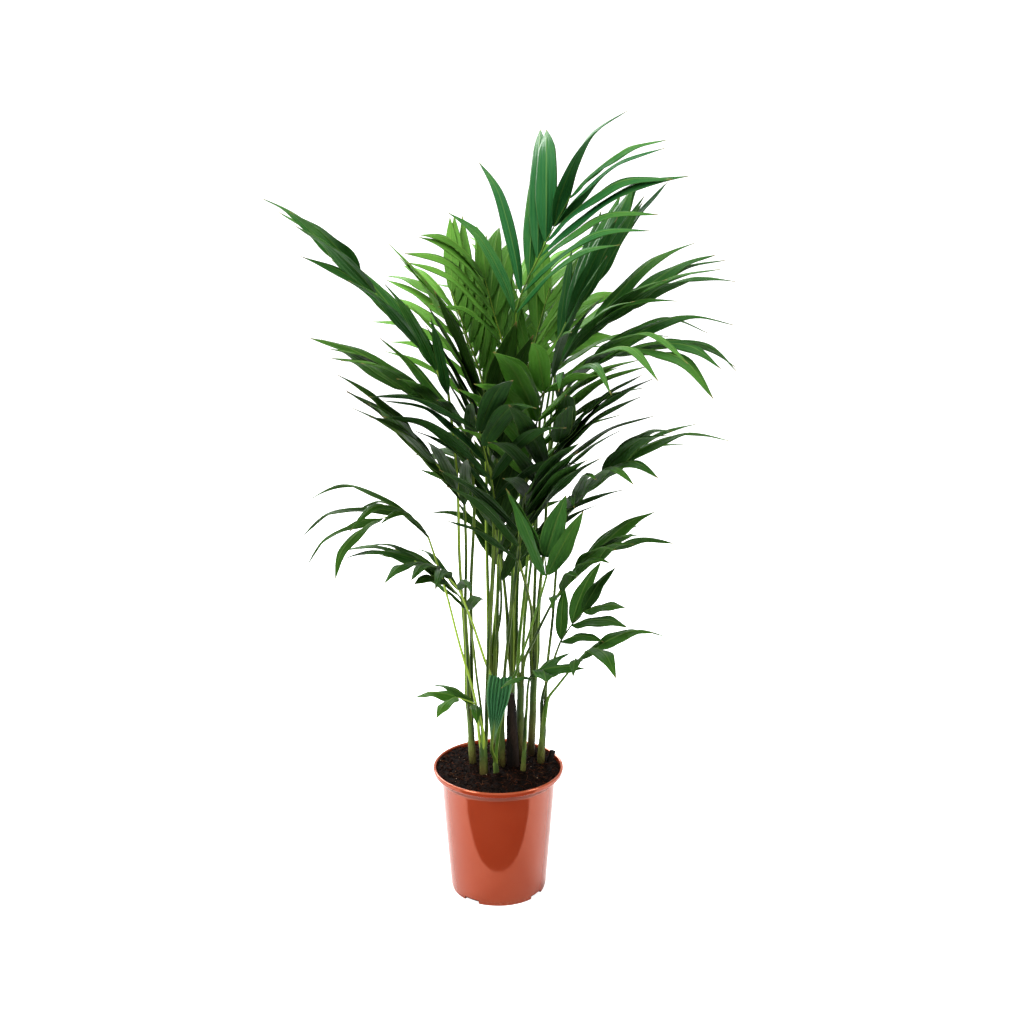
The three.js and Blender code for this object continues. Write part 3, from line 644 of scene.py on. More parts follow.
def makeBladeMaterial(name, look):
    material, tree = newMaterial(name)
    across, along, tone, freshness, blueness, onTop = attributesOf(
        tree, "across", "along", "tone", "freshness", "blueness", "onTop")
    blotch, fine = mottled(objectPlace(tree), 22.0, 240.0)
    marks = addNode(tree, "ShaderNodeGroup", {"Across": across, "Count": look["veinCount"], "Wander": fine},
                    node_tree=leafVeins)
    rib, veins, margin = out(marks, "Rib"), out(marks, "Veins"), out(marks, "Margin")

    # older leaflets are nearly black green, young ones yellow green; the leaves deep in the plant are darkened
    # further with painted shade
    ageAndShade = freshness + (tone - 0.5) * leafLook["toneSpread"] + (blotch - 0.5) * leafLook["blotchSpread"] \
        + ramp(along, 0.25, 1.0, 0.0, leafLook["tipAge"])
    base = painted(leafLook["deep"],
                   (ramp(ageAndShade, 0.0, leafLook["middleAge"], smooth=False), leafLook["middle"]),
                   (blueness * leafLook["blueShare"], leafLook["blue"]),
                   (ramp(ageAndShade, leafLook["middleAge"], 1.0, smooth=False), leafLook["fresh"]),
                   (veins * look["veinShare"], look["veinTint"]),
                   (ramp(along, 0.0, 0.45, look["paleFoot"], 0.0), leafLook["paleFoot"]),
                   (ramp(onTop, 0.5, -0.5) * leafLook["underShare"], leafLook["under"]),
                   # the rib of an old dark leaflet hardly shows
                   (rib * ramp(ageAndShade, 0.0, 0.5, look["ribShare"] * 0.3, look["ribShare"]), leafLook["rib"]),
                   (margin * leafLook["marginShare"], leafLook["rib"]),
                   (ramp(along + fine * 0.05, 0.965, 1.03) * look["dryShare"], leafLook["dryTip"]))

    normal = bumped(veins * 0.7 + fine * 0.3, 0.0006, 0.55)
    rough = ramp(blotch, 0.0, 1.0, 0.38, 0.50) + fine * 0.12
    shader = addNode(tree, "ShaderNodeBsdfPrincipled",
                     {"Base Color": base, "Roughness": rough, "Normal": normal,
                      "Specular IOR Level": leafLook["specular"], "Specular Tint": leafLook["sheen"]})
    glow = painted(base, (ramp(freshness, 0.1, 1.0, 0.10, 0.85), leafLook["throughLight"]))
    through = addNode(tree, "ShaderNodeBsdfTranslucent", {"Color": glow, "Normal": normal})
    mixed = nodeOut(tree, "ShaderNodeMixShader", {0: leafLook["lightShare"], 1: out(shader), 2: out(through)})
    addNode(tree, "ShaderNodeOutputMaterial", {"Surface": mixed})
    return material


stalkLook = {
    "dark": (0.008, 0.022, 0.004, 1),
    "green": (0.032, 0.090, 0.008, 1),
    "pale": (0.270, 0.390, 0.045, 1),
    "brown": (0.080, 0.036, 0.014, 1),
}


def makeStalkMaterial():
    material, tree = newMaterial("leaf_stalk")
    blotch, fine = mottled(squeezed(objectPlace(tree), 0.25), 60.0, 500.0)
    along, across, tone = attributesOf(tree, "along", "across", "tone")
    base = painted(stalkLook["dark"],
                   (ramp(tone, 0.25, 0.9), stalkLook["green"]),
                   (blotch * 0.22, stalkLook["pale"]),
                   # paler down one side: a painted highlight
                   (ramp(across, 0.0, 0.8) * ramp(tone, 0.1, 0.7, 0.30, 1.0), stalkLook["pale"]),
                   (ramp(fine, 0.60, 0.72) * 0.35, stalkLook["brown"]),
                   (ramp(along, 0.0, 0.12, 0.2, 0.0), stalkLook["brown"]))
    return surfaced(material, base, ramp(blotch, 0, 1, 0.36, 0.52), bumped(fine, 0.0004, 0.5),
                    {"Specular IOR Level": leafLook["stemSpecular"], "Specular Tint": leafLook["sheen"]})


bladeMaterial = makeBladeMaterial("leaf_blade", bladeLook)
youngMaterial = makeBladeMaterial("young_blade", youngLook)
stalkMaterial = makeStalkMaterial()

# for each leaf: how far from old dark green (0) to young yellow green (1), and how blue its green is; the inner
# leaves are set below 0, darker still, as painted shade for the shaded heart of the plant
leafTints = {
    "crown_right": (0.40, 0.9), "broad_right": (0.22, 0.6), "crown_left": (0.66, 0.1), "far_left": (0.26, 0.4),
    "arching_right": (0.36, 0.3), "upper_right": (0.30, 0.3), "upright_left": (0.78, 0.0),
    "upright_back": (0.70, 0.1), "middle_left": (0.32, 0.1), "inner_left": (-0.04, 0.0), "low_left": (0.18, 0.0),
    "low_left_front": (0.20, 0.1), "low_left_small": (0.22, 0.0), "lowest_left": (0.36, 0.0),
    "lowest_right": (0.30, 0.1), "low_right": (0.24, 0.1), "front_fork": (0.36, 0.3),
    "front_low_right": (0.30, 0.1), "middle_right": (0.32, 0.2), "front_centre": (0.66, 0.2),
    "front_hanging": (-0.05, 0.2), "inner_right": (-0.08, 0.1), "inner_front": (-0.10, 0.1),
    "inner_core": (-0.10, 0.0), "back_left": (0.80, 0.0), "back_centre": (0.78, 0.1), "back_right": (0.62, 0.2),
    "back_low": (0.08, 0.0), "lowest_front": (0.34, 0.2), "young_forked": (0.34, 0.7), "low_core": (-0.10, 0.0),
    "low_back": (-0.05, 0.0),
}


def leafSkeleton(nodeName, leafName, order):
    # spine and leaflet centre lines of one leaf, with the facts the tree needs on each point
    shell = welded(nodeName)
    leaflets, taken = readLeaflets(shell)
    stations = readSpine(shell, taken)
    shell.free()
    centres = [centre for centre, half in stations]
    tangents = []
    for i in range(len(centres)):
        before, after = centres[max(0, i - 1)], centres[min(len(centres) - 1, i + 1)]
        tangents.append((after - before).normalized())
    faceWays = []
    last = None
    for tangent in tangents:
        up = squareTo(Vector((0, 0, 1)), tangent)
        outward = Vector((tangent.x, tangent.y, 0))
        if outward.length < 0.12 and last is not None:
            up = squareTo(last, tangent)
        if last is not None and up.dot(last) < 0:
            up = -up
        last = up
        faceWays.append(up)

    points, edges = [], []
    facts = {"isBlade": [], "along": [], "halfWidth": [], "tone": []}
    ways = {"sideWay": [], "faceWay": [], "aheadWay": []}

    def addPoint(place, side, face, isFirst, *values):
        points.append(place)
        for name, value in zip(facts, values):
            facts[name].append(value)
        for name, way in zip(ways, (side, face, face.cross(side))):
            ways[name].append(way)
        if not isFirst:
            edges.append((len(points) - 2, len(points) - 1))

    # the stalk runs on down into the heart of its shoot
    chances = random.Random(order * 31 + 5)
    shootFoot, shootTop = readPost(nodeName.split("_leaf_")[0] + "_shoot")[:2]
    sunk = min(leafShape["sunk"] / (shootTop - shootFoot).length, 0.5)
    spineFacts = [(shootTop.lerp(shootFoot, sunk), tangents[0], faceWays[0], stations[0][1])]
    spineFacts += [(c, t, f, h) for c, t, f, (_, h) in zip(centres, tangents, faceWays, stations)]
    stalkTone = chances.random()
    for i, (centre, tangent, face, half) in enumerate(spineFacts):
        along = i / (len(spineFacts) - 1)
        half *= leafShape["stoutFoot"] + (leafShape["stoutTip"] - leafShape["stoutFoot"]) * along
        addPoint(centre, tangent.cross(face) * -1, face, i == 0, 0.0, along, half, stalkTone)

    for sections, tip in leaflets:
        tone = chances.random()
        foot = (sections[0][0] + sections[0][1]) / 2
        nearest = min(range(len(centres)), key=lambda i: (centres[i] - foot).length)
        widths = [(b - a).length for a, b in sections]
        # the lowest leaflets of a leaf stay narrow
        inward = nearest / max(1, len(centres) - 1)
        half = max(widths[1], widths[2]) / 2 * leafShape["broader"] * min(1.0, 0.62 + 1.1 * max(0.0, inward - 0.35))
        line = [(a + b) / 2 for a, b in sections] + [tip]
        line[0] = foot.lerp(centres[nearest], 0.25)
        sides = [(b - a).normalized() for a, b in sections]
        sides.append(sides[-1])
        sides[0] = sides[1]
        for i, (place, side) in enumerate(zip(line, sides)):
            ahead = (line[min(i + 1, 3)] - line[max(i - 1, 0)]).normalized()
            side = squareTo(side, ahead)
            face = ahead.cross(side)
            if face.dot(faceWays[nearest]) < 0:
                face = -face
            addPoint(place, side, face, i == 0, 1.0, (0.0, 0.25, 0.65, 1.0)[i], half, tone)

    mesh = bpy.data.meshes.new(leafName + "_lines")
    mesh.from_pydata(points, edges, [])
    freshness, blueness = leafTints[leafName]
    facts.update({"freshness": [freshness] * len(points), "blueness": [blueness] * len(points)})
    writeFacts(mesh, facts, ways)
    return mesh, len(leaflets)


def growLeaf(nodeName, leafName, skeleton, tree, shape, bladeSkin):
    mesh = grow(nodeName + "_grown", skeleton, tree, {**shape, "blade": bladeSkin, "stalk": stalkMaterial})
    showPiece(leafName + "_leaf", tidied(mesh), [nodeName], "leaf")


def makeLeaves():
    tree = makeLeafTree("grow_leaf", leafShape["outline"])
    leafNodes = sorted(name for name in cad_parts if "_leaf_" in name and name.startswith("palm_"))
    total = 0
    for order, nodeName in enumerate(leafNodes):
        leafName = nodeName.split("_leaf_")[1]
        if leafName == "young_forked":
            continue
        skeleton, count = leafSkeleton(nodeName, leafName, order)
        total += count
        growLeaf(nodeName, leafName, skeleton, tree, leafShape, bladeMaterial)
    print("leaves grown:", len(leafNodes), "with", total, "leaflets")


# the young leaf low down in front: one pleated blade, still closed like a fan and forked at the top
youngShape = {
    "pointsAlong": 34, "columns": 42, "fold": 0.10, "pleats": 7.0, "pleatDepth": 0.0022, "fork": 0.003,
    "taller": 0.014, "ripple": 0.0004, "thickness": 0.0004, "stalkStep": 0.003, "halfWidth": 0.0175,
    "stalkHalfWidths": [0.0030, 0.0030, 0.0024, 0.0008],
    "outline": [(0.0, 0.10), (0.15, 0.22), (0.45, 0.62), (0.78, 0.98), (1.0, 0.93)],
}


def makeYoungLeaf():
    nodeName = "palm_i_leaf_young_forked"
    shell = welded(nodeName)
    leaflets = readLeaflets(shell)[0]
    shell.free()
    foot = sum(((sections[0][0] + sections[0][1]) / 2 for sections, tip in leaflets), Vector()) / len(leaflets)
    top = sum((tip for sections, tip in leaflets), Vector()) / len(leaflets)
    top += (top - foot).normalized() * youngShape["taller"]
    shootFoot, shootTop = readPost("palm_i_shoot")[:2]
    stalk = [shootTop.lerp(shootFoot, 0.35), shootTop.lerp(foot, 0.10), foot, foot.lerp(top, 0.45)]
    blade = [foot.lerp(top, t) + Vector((0, -0.004 * t * t, 0)) for t in (0.0, 0.33, 0.66, 1.0)]
    ahead = (top - foot).normalized()
    side = squareTo(Vector((1, 0, 0)), ahead)
    face = ahead.cross(side) * -1
    if face.y > 0:
        face = -face
    points = stalk + blade
    edges = [(0, 1), (1, 2), (2, 3), (4, 5), (5, 6), (6, 7)]
    mesh = bpy.data.meshes.new("young_lines")
    mesh.from_pydata(points, edges, [])
    freshness, blueness = leafTints["young_forked"]
    facts = {"isBlade": [0.0] * 4 + [1.0] * 4, "along": [0.0, 0.4, 0.7, 1.0, 0.0, 0.33, 0.66, 1.0],
             "halfWidth": youngShape["stalkHalfWidths"] + [youngShape["halfWidth"]] * 4,
             "tone": [0.1] * 4 + [0.5] * 4, "freshness": [freshness] * 8, "blueness": [blueness] * 8}
    writeFacts(mesh, facts, {"sideWay": [side] * 8, "faceWay": [face] * 8, "aheadWay": [ahead] * 8})
    growLeaf(nodeName, "young_forked", mesh, makeLeafTree("grow_young_leaf", youngShape["outline"]), youngShape,
             youngMaterial)


makeLeaves()
makeYoungLeaf()


# pot

potShape = {
    "height": 0.192, "rim": 0.095, "bodyTop": 0.085, "base": 0.070, "ledge": 0.006, "ledgeStep": 0.0012,
    "wall": 0.0022, "floor": 0.003, "lip": 0.009, "segments": 192,
    "notches": 4, "firstNotch": 55, "notchWidth": 0.025, "notchHeight": 0.0065, "notchReach": 0.011,
    "holes": 6, "holeRadius": 0.005, "holeCircle": 0.034, "neck": 0.008, "sharp": 38,
}

potLook = {
    "clay": (0.205, 0.023, 0.0066, 1),
    "worn": (0.225, 0.030, 0.0095, 1),
    "gloss": (1.0, 0.34, 0.20, 1),
    "crease": (0.085, 0.009, 0.003, 1),
    "edge": (0.420, 0.105, 0.048, 1),
    "dust": (0.200, 0.090, 0.050, 1),
    "ior": 2.0, "rough": (0.06, 0.10),
    # heights between which each zone fades in or out
    "rimFrom": (0.1885, 0.1915), "dustUpTo": (0.014, 0.001), "creaseFrom": (0.172, 0.1765),
    "creaseTo": (0.1845, 0.182),
    # how much of each layer shows, and how much rougher it is
    "shares": {"worn": 0.30, "rim": 0.55, "dust": 0.35, "scratch": 0.12, "crease": 0.75},
    "rougher": {"scratch": 0.14, "crease": 0.45, "dust": 0.25},
}


def wallRadius(height):
    return potShape["base"] + (potShape["bodyTop"] - potShape["base"]) * height / potShape["height"]


def rounded(corners, steps=5):
    # a profile line whose corners are rounded off by the size given with each
    line = []
    for i, (x, y, size) in enumerate(corners):
        here = Vector((x, y))
        if size == 0 or i in (0, len(corners) - 1):
            line.append(here)
            continue
        before = Vector(corners[i - 1][:2]) - here
        after = Vector(corners[i + 1][:2]) - here
        start = here + before.normalized() * min(size, before.length * 0.45)
        end = here + after.normalized() * min(size, after.length * 0.45)
        for step in range(steps + 1):
            t = step / steps
            line.append(start.lerp(here, t).lerp(here.lerp(end, t), t))
    return line


def lathe(name, line, segments):
    # spins a line of (radius, height) round the Z axis; ends on the axis become single points
    points, rings = [], []
    for r, z in line:
        if r < 1e-6:
            points.append((0, 0, z))
            rings.append([len(points) - 1] * segments)
            continue
        ring = []
        for k in range(segments):
            turn = 2 * math.pi * k / segments
            points.append((r * math.cos(turn), r * math.sin(turn), z))
            ring.append(len(points) - 1)
        rings.append(ring)
    faces = []
    for lower, upper in zip(rings, rings[1:]):
        for k in range(segments):
            n = (k + 1) % segments
            corners = [lower[k], lower[n], upper[n], upper[k]]
            face = list(dict.fromkeys(corners))
            if len(face) > 2:
                faces.append(face)
    mesh = bpy.data.meshes.new(name)
    mesh.from_pydata(points, [], faces)
    mesh.polygons.foreach_set("use_smooth", [True] * len(faces))
    return mesh


def cutAway(piece, cutter):
    # takes the cutter's shape out of the piece for good
    modifier = piece.modifiers.new("cut", "BOOLEAN")
    modifier.operation = "DIFFERENCE"
    modifier.solver = "EXACT"
    modifier.object = cutter
    bpy.context.view_layer.update()
    graph = bpy.context.evaluated_depsgraph_get()
    mesh = bpy.data.meshes.new_from_object(piece.evaluated_get(graph))
    piece.modifiers.clear()
    piece.data = mesh
    bpy.data.objects.remove(cutter)


def makePotMaterial():
    material, tree = newMaterial("pot_plastic")
    place = objectPlace(tree)
    blotch, fine = mottled(place, 14.0, 420.0)
    height = out(addNode(tree, "ShaderNodeSeparateXYZ", {0: place}), "Z")
    scratch = ramp(speckle(squeezed(place, 0.12), 220.0, 5.0, 0.7), 0.66, 0.74)
    dust = ramp(height, *potLook["dustUpTo"]) * ramp(fine, 0.42, 0.62)
    # the crease under the lip is dull, and painted shade darkens it
    crease = ramp(height, *potLook["creaseFrom"]) * ramp(height, *potLook["creaseTo"])
    shares, rougher = potLook["shares"], potLook["rougher"]
    base = painted(potLook["clay"],
                   (blotch * shares["worn"], potLook["worn"]),
                   (ramp(height, *potLook["rimFrom"]) * shares["rim"], potLook["edge"]),
                   (dust * shares["dust"], potLook["dust"]),
                   (scratch * shares["scratch"], potLook["edge"]),
                   (crease * shares["crease"], potLook["crease"]))
    rough = ramp(blotch, 0, 1, *potLook["rough"]) + scratch * rougher["scratch"] + crease * rougher["crease"] \
        + dust * rougher["dust"]
    normal = bumped(scratch, 0.0002, 0.20, Normal=bumped(fine, 0.00012, 0.25))
    return surfaced(material, base, rough, normal, {"IOR": potLook["ior"], "Specular Tint": potLook["gloss"]})


def makePot():
    p = potShape
    lipFoot = p["height"] - p["lip"]
    neck = lipFoot - p["neck"]
    inside = p["rim"] - 0.004
    corners = [
        (0, 0, 0), (p["base"] - p["ledgeStep"], 0, 0.0012), (p["base"] - p["ledgeStep"], p["ledge"], 0.0004),
        (wallRadius(p["ledge"]), p["ledge"], 0.0008), (wallRadius(neck), neck, 0.003),
        (p["rim"] - 0.0022, lipFoot + 0.001, 0.0012), (p["rim"] - 0.0006, lipFoot + 0.002, 0.0008),
        (p["rim"], p["height"] - 0.0015, 0.0009), (p["rim"] - 0.0012, p["height"], 0.0009),
        (inside, p["height"] - 0.0006, 0.0012), (inside - 0.001, lipFoot + 0.002, 0.002),
        (wallRadius(neck) - p["wall"], neck, 0.003), (wallRadius(p["floor"]) - p["wall"], p["floor"], 0.0015),
        (0, p["floor"], 0),
    ]
    line = rounded(corners)
    # more rings up the long wall, so that it shades evenly
    finer = []
    for a, b in zip(line, line[1:]):
        pieces = max(1, int((b - a).length / 0.02))
        finer += [a.lerp(b, k / pieces) for k in range(pieces)]
    finer.append(line[-1])
    pot = addObject("pot", tidied(lathe("pot", finer, p["segments"])))

    tool = bmesh.new()
    for k in range(p["notches"]):
        turn = math.radians(p["firstNotch"] + k * 360 / p["notches"] - 90)
        made = bmesh.ops.create_cube(tool, size=1)["verts"]
        for v in made:
            x = v.co.x * p["notchReach"] * 2 + p["base"]
            y = v.co.y * p["notchWidth"]
            v.co = Vector((x * math.cos(turn) - y * math.sin(turn), x * math.sin(turn) + y * math.cos(turn),
                           v.co.z * p["notchHeight"] * 2))
    for k in range(p["holes"]):
        turn = k * 2 * math.pi / p["holes"]
        made = bmesh.ops.create_cone(tool, cap_ends=True, segments=32, radius1=p["holeRadius"],
                                     radius2=p["holeRadius"], depth=p["floor"] * 4)["verts"]
        bmesh.ops.translate(tool, verts=made, vec=(p["holeCircle"] * math.cos(turn),
                                                   p["holeCircle"] * math.sin(turn), 0))
    bmesh.ops.recalc_face_normals(tool, faces=tool.faces)
    toolMesh = bpy.data.meshes.new("notch_tool")
    tool.to_mesh(toolMesh)
    tool.free()
    cutAway(pot, addObject("notch_tool", toolMesh))

    pot.data.materials.clear()
    pot.data.materials.append(makePotMaterial())
    pot.data.set_sharp_from_angle(angle=math.radians(p["sharp"]))
    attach(pot, "root")
    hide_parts("nursery_pot")
    print("pot turned:", len(pot.data.polygons), "faces")


makePot()


# compost, with crumbs, bark and fibres strewn on it

soilShape = {
    "edge": 0.0896, "edgeHeight": 0.1870, "crownHeight": 0.1930, "rings": 44, "segments": 132,
    "lump": 0.0044, "seed": 4,
    "gap": 0.0003, "footGap": 0.0006, "aboveLip": 0.002, "facesUp": 0.4, "isTop": 0.18,
    # bits on each square metre
    "crumbs": 46000.0, "chips": 15000.0, "fibres": 7000.0, "pale": 2000.0,
}

soilLook = {
    "dark": (0.0022, 0.0010, 0.0007, 1),
    "brown": (0.0095, 0.0036, 0.0018, 1),
    "bark": (0.060, 0.016, 0.006, 1),
    "straw": (0.130, 0.060, 0.024, 1),
    "palest": (0.36, 0.27, 0.18, 1),
    "specular": 0.05,
}


def soilTop(x, y):
    share = min(1.0, math.hypot(x, y) / potShape["rim"])
    base = soilShape["crownHeight"] + (soilShape["edgeHeight"] - soilShape["crownHeight"]) * share * share
    rough = noise.noise(Vector((x, y, 0.3)) * 55) * 0.7 + noise.noise(Vector((x, y, 1.7)) * 170) * 0.35 \
        + noise.noise(Vector((x, y, 4.1)) * 420) * 0.16
    return base + rough * soilShape["lump"]


def makeSoilBody():
    # from the pot's floor up its inside wall, then over the uneven top to the middle
    neck = potShape["height"] - potShape["lip"] - potShape["neck"]
    floor = potShape["floor"] + soilShape["gap"]
    levels = [(0.0, floor), (wallRadius(potShape["floor"]) - potShape["wall"] - soilShape["footGap"], floor),
              (wallRadius(neck) - potShape["wall"] - soilShape["gap"], neck),
              (soilShape["edge"], potShape["height"] - potShape["lip"] + soilShape["aboveLip"])]
    top = [(soilShape["edge"] * k / soilShape["rings"], 0.0) for k in range(soilShape["rings"], -1, -1)]
    body = lathe("compost", levels + top, soilShape["segments"])
    below = 1 + (len(levels) - 1) * soilShape["segments"]
    for v in body.vertices[below:]:
        v.co.z = soilTop(v.co.x, v.co.y)
    return body


def makeStrewTree():
    # strews crumbs, bark chips, pale bits and root fibres over whatever faces up
    tree, given = newTree("strew_compost", {"crumbs": float, "chips": float, "fibres": float, "pale": float,
                                            "seed": int, "soil": "material"})
    up, high = [out(addNode(tree, "ShaderNodeSeparateXYZ", {0: nodeOut(tree, kind)}), "Z")
                for kind in ("GeometryNodeInputNormal", "GeometryNodeInputPosition")]
    facingUp = (up > soilShape["facesUp"]) * (high > soilShape["isTop"])
    bare = keep(given["Geometry"], "bit", 0.0)
    layers = [bare]

    def strew(shape, density, kind, smallest, largest, flat):
        # each kind of bit has its own seed and its own number in the "bit" attribute
        seed = given["seed"] + kind
        spots = nodeOut(tree, "GeometryNodeDistributePointsOnFaces",
                        {"Mesh": bare, "Selection": facingUp, "Density": density, "Seed": seed},
                        distribute_method="RANDOM")
        tilt, swing = (0.5, (0.0, 6.28)) if flat else (3.1, (-3.1, 3.1))
        spin, size, tint = [
            nodeOut(tree, "FunctionNodeRandomValue", {"Min": least, "Max": most, "Seed": seed}, data_type=dataType)
            for least, most, dataType in (((-tilt, -tilt, swing[0]), (tilt, tilt, swing[1]), "FLOAT_VECTOR"),
                                          (smallest, largest, "FLOAT_VECTOR"),
                                          (float(kind), kind + 0.9, "FLOAT"))]
        placed = nodeOut(tree, "GeometryNodeInstanceOnPoints",
                         {"Points": spots, "Instance": shape, "Rotation": spin, "Scale": size})
        layers.append(keep(placed, "bit", tint, domain="INSTANCE"))

    lump = nodeOut(tree, "GeometryNodeMeshIcoSphere", {"Radius": 0.001, "Subdivisions": 1})
    bow = nodeOut(tree, "GeometryNodeCurveQuadraticBezier",
                  {"Resolution": 6, "Start": (-0.006, 0, 0), "Middle": (0, 0.003, 0.0025),
                   "End": (0.007, -0.001, 0.0)})
    fibre = swept(bow, circle(tree, 3, 0.00022))
    strew(lump, given["crumbs"], 1, (0.5, 0.4, 0.3), (2.9, 2.4, 1.8), False)
    strew(lump, given["chips"], 2, (1.6, 0.7, 0.3), (4.6, 1.9, 0.7), True)
    strew(fibre, given["fibres"], 3, (0.5, 0.5, 0.5), (1.5, 1.6, 1.6), True)
    strew(lump, given["pale"], 4, (0.5, 0.5, 0.5), (1.3, 1.2, 1.0), False)
    addNode(tree, "NodeGroupOutput", {0: dressed(realized(tree, reversed(layers)), given["soil"])})
    return tree


def makeSoilMaterial():
    material, tree = newMaterial("compost_peat")
    place = objectPlace(tree)
    bit = attributesOf(tree, "bit")[0]
    coarse = speckle(place, 130.0, 5.0, 0.7)
    fine = speckle(place, 900.0, 4.0, 0.6)
    base = painted(soilLook["dark"],
                   (ramp(coarse, 0.42, 0.66), soilLook["brown"]),
                   (ramp(bit, 1.55, 1.9) * 0.8, soilLook["brown"]),
                   (ramp(bit, 2.2, 2.9) * ramp(fine, 0.3, 0.7, 0.45, 1.0), soilLook["bark"]),
                   (ramp(bit, 3.35, 3.9, 0.0, 0.6), soilLook["straw"]),
                   (ramp(bit, 4.0, 4.5), soilLook["palest"]))
    return surfaced(material, base, ramp(fine, 0.3, 0.7, 0.72, 0.95), bumped(coarse * 2.0 + fine, 0.0009, 0.8),
                    {"Specular IOR Level": soilLook["specular"]})


def makeCompost():
    mesh = grow("compost_grown", makeSoilBody(), makeStrewTree(), {**soilShape, "soil": makeSoilMaterial()})
    showPiece("compost_soil", tidied(mesh), ["compost"], "compost")
    print("compost filled:", len(mesh.polygons), "faces")


makeCompost()


# shoots, the dead sheath and the cut stub

shootShape = {
    "rings": 120, "sides": 30, "sheathStep": 0.00045, "slant": 0.15, "ribDepth": 0.00010, "crownTaper": 0.42,
    "slimming": (0.84, 1.0), "bow": 0.0006, "bowSteps": 12, "mouths": (0.42, 0.63, 0.82),
}

shootLook = {
    "shade": (0.012, 0.030, 0.005, 1),
    "green": (0.038, 0.082, 0.014, 1),
    "pale": (0.200, 0.275, 0.060, 1),
    "cream": (0.280, 0.250, 0.060, 1),
    "brown": (0.062, 0.028, 0.010, 1),
    "dark": (0.014, 0.007, 0.004, 1),
    # how much of each layer shows
    "blotchShare": 0.5, "toneShare": 0.75, "fibreShare": 0.22, "sideShare": 0.72, "creamShare": 0.42,
    "stainShare": 0.85, "footShare": 0.85, "mouthShare": 0.30,
}


def makeShootTree():
    # a rod of rolled sheaths: each wraps the last one and ends in a slanting mouth
    tree, given = newTree("grow_shoot", {
        "rings": int, "sides": int, "sheathStep": float, "slant": float, "ribDepth": float, "crownTaper": float,
        "ragged": float, "skin": "material"})
    rod = evenLine(given["Geometry"], {"Count": given["rings"]}, "COUNT", smooth=False)
    index = nodeOut(tree, "GeometryNodeInputIndex")
    skin = swept(rod, keep(circle(tree, given["sides"]), "turn", index / given["sides"] * (math.pi * 2)))
    along, turn, tone, halfWidth = [readNumber(tree, name) for name in ("along", "turn", "tone", "halfWidth")]
    grain = nodeOut(tree, "ShaderNodeTexNoise", {"Vector": nodeOut(tree, "GeometryNodeInputPosition"),
                                                 "Scale": 260.0, "Detail": 3.0})
    ragged = (grain - 0.5) * given["ragged"]
    steps, edges = None, None
    for order, mouth in enumerate(shootShape["mouths"]):
        lean = cosine(turn - (tone * 6.28 + order * 3.4)) * given["slant"]
        ahead = lean + ragged + ((tone - 0.5) * 0.16 + mouth) - along
        wrapped = ramp(ahead, -0.004, 0.004)
        near = ramp(ahead, -0.004, 0.002) * ramp(ahead, 0.030, 0.006)
        steps = wrapped if steps is None else steps + wrapped
        edges = near if edges is None else calc("MAXIMUM", edges, near)
    radius = halfWidth - given["sheathStep"] * 1.5 + sine(turn * 9.0) * given["ribDepth"] \
        + steps * given["sheathStep"]
    radius = radius * (1.0 - ramp(along, 0.84, 1.0) * given["crownTaper"])
    skin = setOut(keep(skin, "mouth", edges), cosine(turn) * radius, sine(turn) * radius)
    addNode(tree, "NodeGroupOutput", {0: dressed(realized(tree, [skin]), given["skin"])})
    return tree


def makeShootMaterial():
    material, tree = newMaterial("shoot_skin")
    blotch, fine = mottled(squeezed(objectPlace(tree), 0.3), 70.0, 650.0)
    along, mouth, tone, turn = attributesOf(tree, "along", "mouth", "tone", "turn")
    fibres = sine(turn * 34.0)
    low = ramp(along + (fine - 0.5) * 0.35, 0.66, 0.16)
    # the darker side of each shoot is painted shade
    side = ramp(sine(turn + tone * 5.0), 0.1, 1.0)
    stain = low * ramp(fine + tone * 0.16, 0.46, 0.62)
    base = painted(shootLook["green"],
                   (blotch * shootLook["blotchShare"], shootLook["pale"]),
                   (ramp(tone, 0.55, 1.0, 0.0, shootLook["toneShare"]), shootLook["shade"]),
                   (ramp(fibres, -0.4, 1.0, 0.0, shootLook["fibreShare"]), shootLook["pale"]),
                   (side * shootLook["sideShare"], shootLook["shade"]),
                   (low * shootLook["creamShare"], shootLook["cream"]),
                   (stain * shootLook["stainShare"], shootLook["brown"]),
                   (ramp(along, 0.36, 0.16, 0.0, shootLook["footShare"]), shootLook["dark"]),
                   (mouth * shootLook["mouthShare"], shootLook["brown"]))
    return surfaced(material, base, ramp(blotch, 0, 1, 0.38, 0.55), bumped(fibres * 0.35 + fine, 0.0005, 0.6),
                    {"Specular IOR Level": leafLook["stemSpecular"], "Specular Tint": leafLook["sheen"]})


deadLook = {
    "sheathLight": (0.018, 0.010, 0.006, 1), "sheathDark": (0.0035, 0.0024, 0.0018, 1),
    "stubLight": (0.016, 0.010, 0.007, 1), "stubDark": (0.004, 0.003, 0.002, 1),
    "specular": 0.15,
}


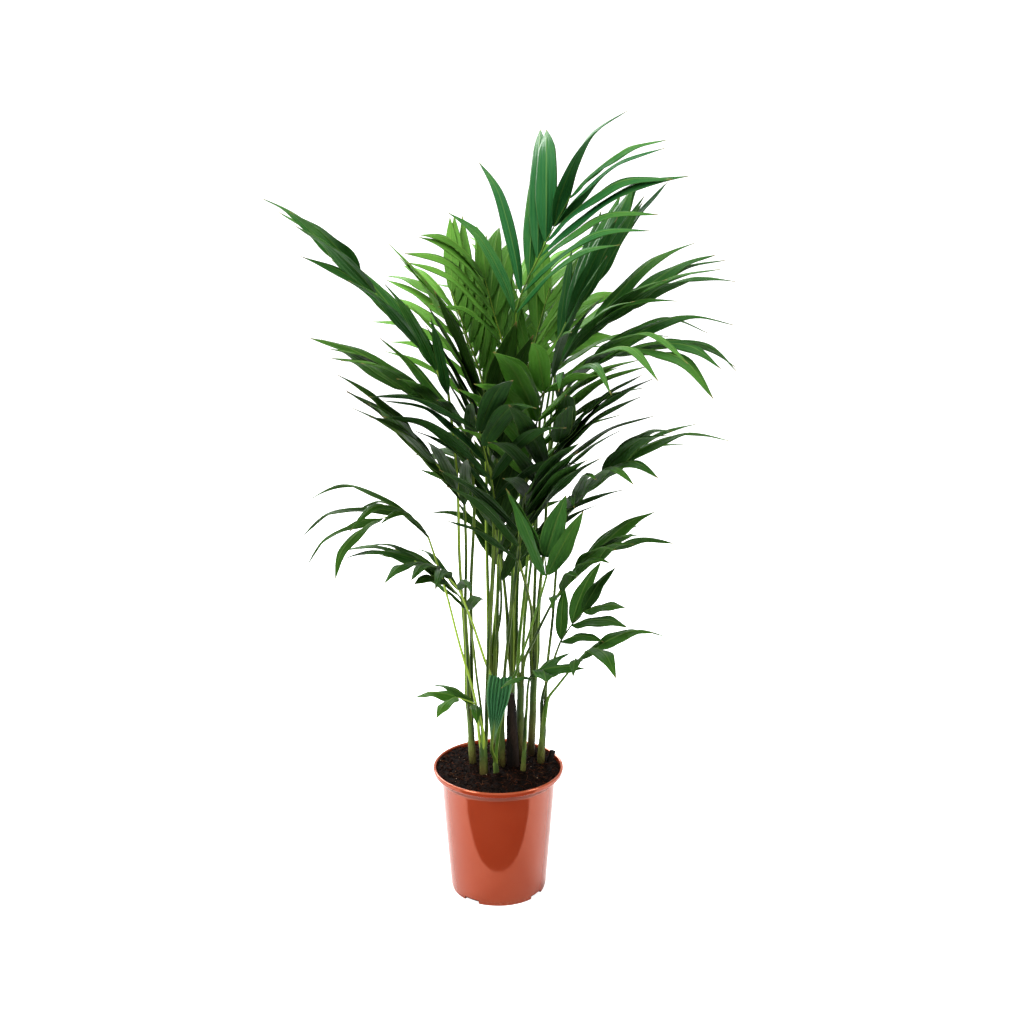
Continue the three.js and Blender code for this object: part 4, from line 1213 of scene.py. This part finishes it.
def makeDeadMaterial(name, light, dark):
    material, tree = newMaterial(name)
    blotch, fine = mottled(squeezed(objectPlace(tree), 0.2), 90.0, 800.0)
    base = painted(dark, (blotch, light), (ramp(fine, 0.55, 0.70, 0.0, 0.7), dark))
    return surfaced(material, base, ramp(fine, 0.3, 0.7, 0.7, 0.92), bumped(fine + blotch, 0.0012, 0.8),
                    {"Specular IOR Level": deadLook["specular"]})


def postSkeleton(nodeName, order, slimFoot, slimTop):
    foot, top, footRadius, topRadius = readPost(nodeName)
    axis = (top - foot).normalized()
    side = squareTo(Vector((1, 0, 0)), axis)
    face = axis.cross(side)
    chances = random.Random(order * 17 + 3)
    way = side * chances.uniform(-1, 1) + face * chances.uniform(-1, 1)
    steps = shootShape["bowSteps"]
    shares = [i / steps for i in range(steps + 1)]
    points = [foot.lerp(top, i / steps) + way * shootShape["bow"] * math.sin(math.pi * i / steps)
              for i in range(steps + 1)]
    mesh = bpy.data.meshes.new(nodeName + "_line")
    mesh.from_pydata(points, [(i, i + 1) for i in range(steps)], [])
    footHalf, topHalf = footRadius * slimFoot, topRadius * slimTop
    writeFacts(mesh, {"along": shares, "halfWidth": [footHalf + (topHalf - footHalf) * t ** 1.5 for t in shares],
                      "tone": [chances.random()] * (steps + 1)},
               {"sideWay": [side] * (steps + 1), "faceWay": [face] * (steps + 1)})
    return mesh


def makeShoots():
    tree = makeShootTree()
    skin = makeShootMaterial()
    papery = makeDeadMaterial("dead_sheath", deadLook["sheathLight"], deadLook["sheathDark"])
    charred = makeDeadMaterial("cut_stub", deadLook["stubLight"], deadLook["stubDark"])
    # node, slot, material, raggedness, taper, and how much thicker the foot and the top are than the node's
    jobs = [(name, "shoot", skin, 0.0, shootShape["crownTaper"], shootShape["slimming"])
            for name in sorted(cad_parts) if name.endswith("_shoot")]
    jobs += [("dead_leaf_sheath", "dead", papery, 0.16, 0.30, (1.35, 1.5)),
             ("cut_stub", "dead", charred, 0.02, 0.05, (1.4, 1.6))]
    for order, (nodeName, slot, material, ragged, taper, slimming) in enumerate(jobs):
        mesh = grow(nodeName + "_grown", postSkeleton(nodeName, order, *slimming), tree,
                    {**shootShape, "crownTaper": taper, "ragged": ragged, "skin": material})
        showPiece(nodeName.replace("palm_", "") + "_skin", tidied(mesh), [nodeName], slot)
    print("shoots wrapped:", len(jobs))


makeShoots()
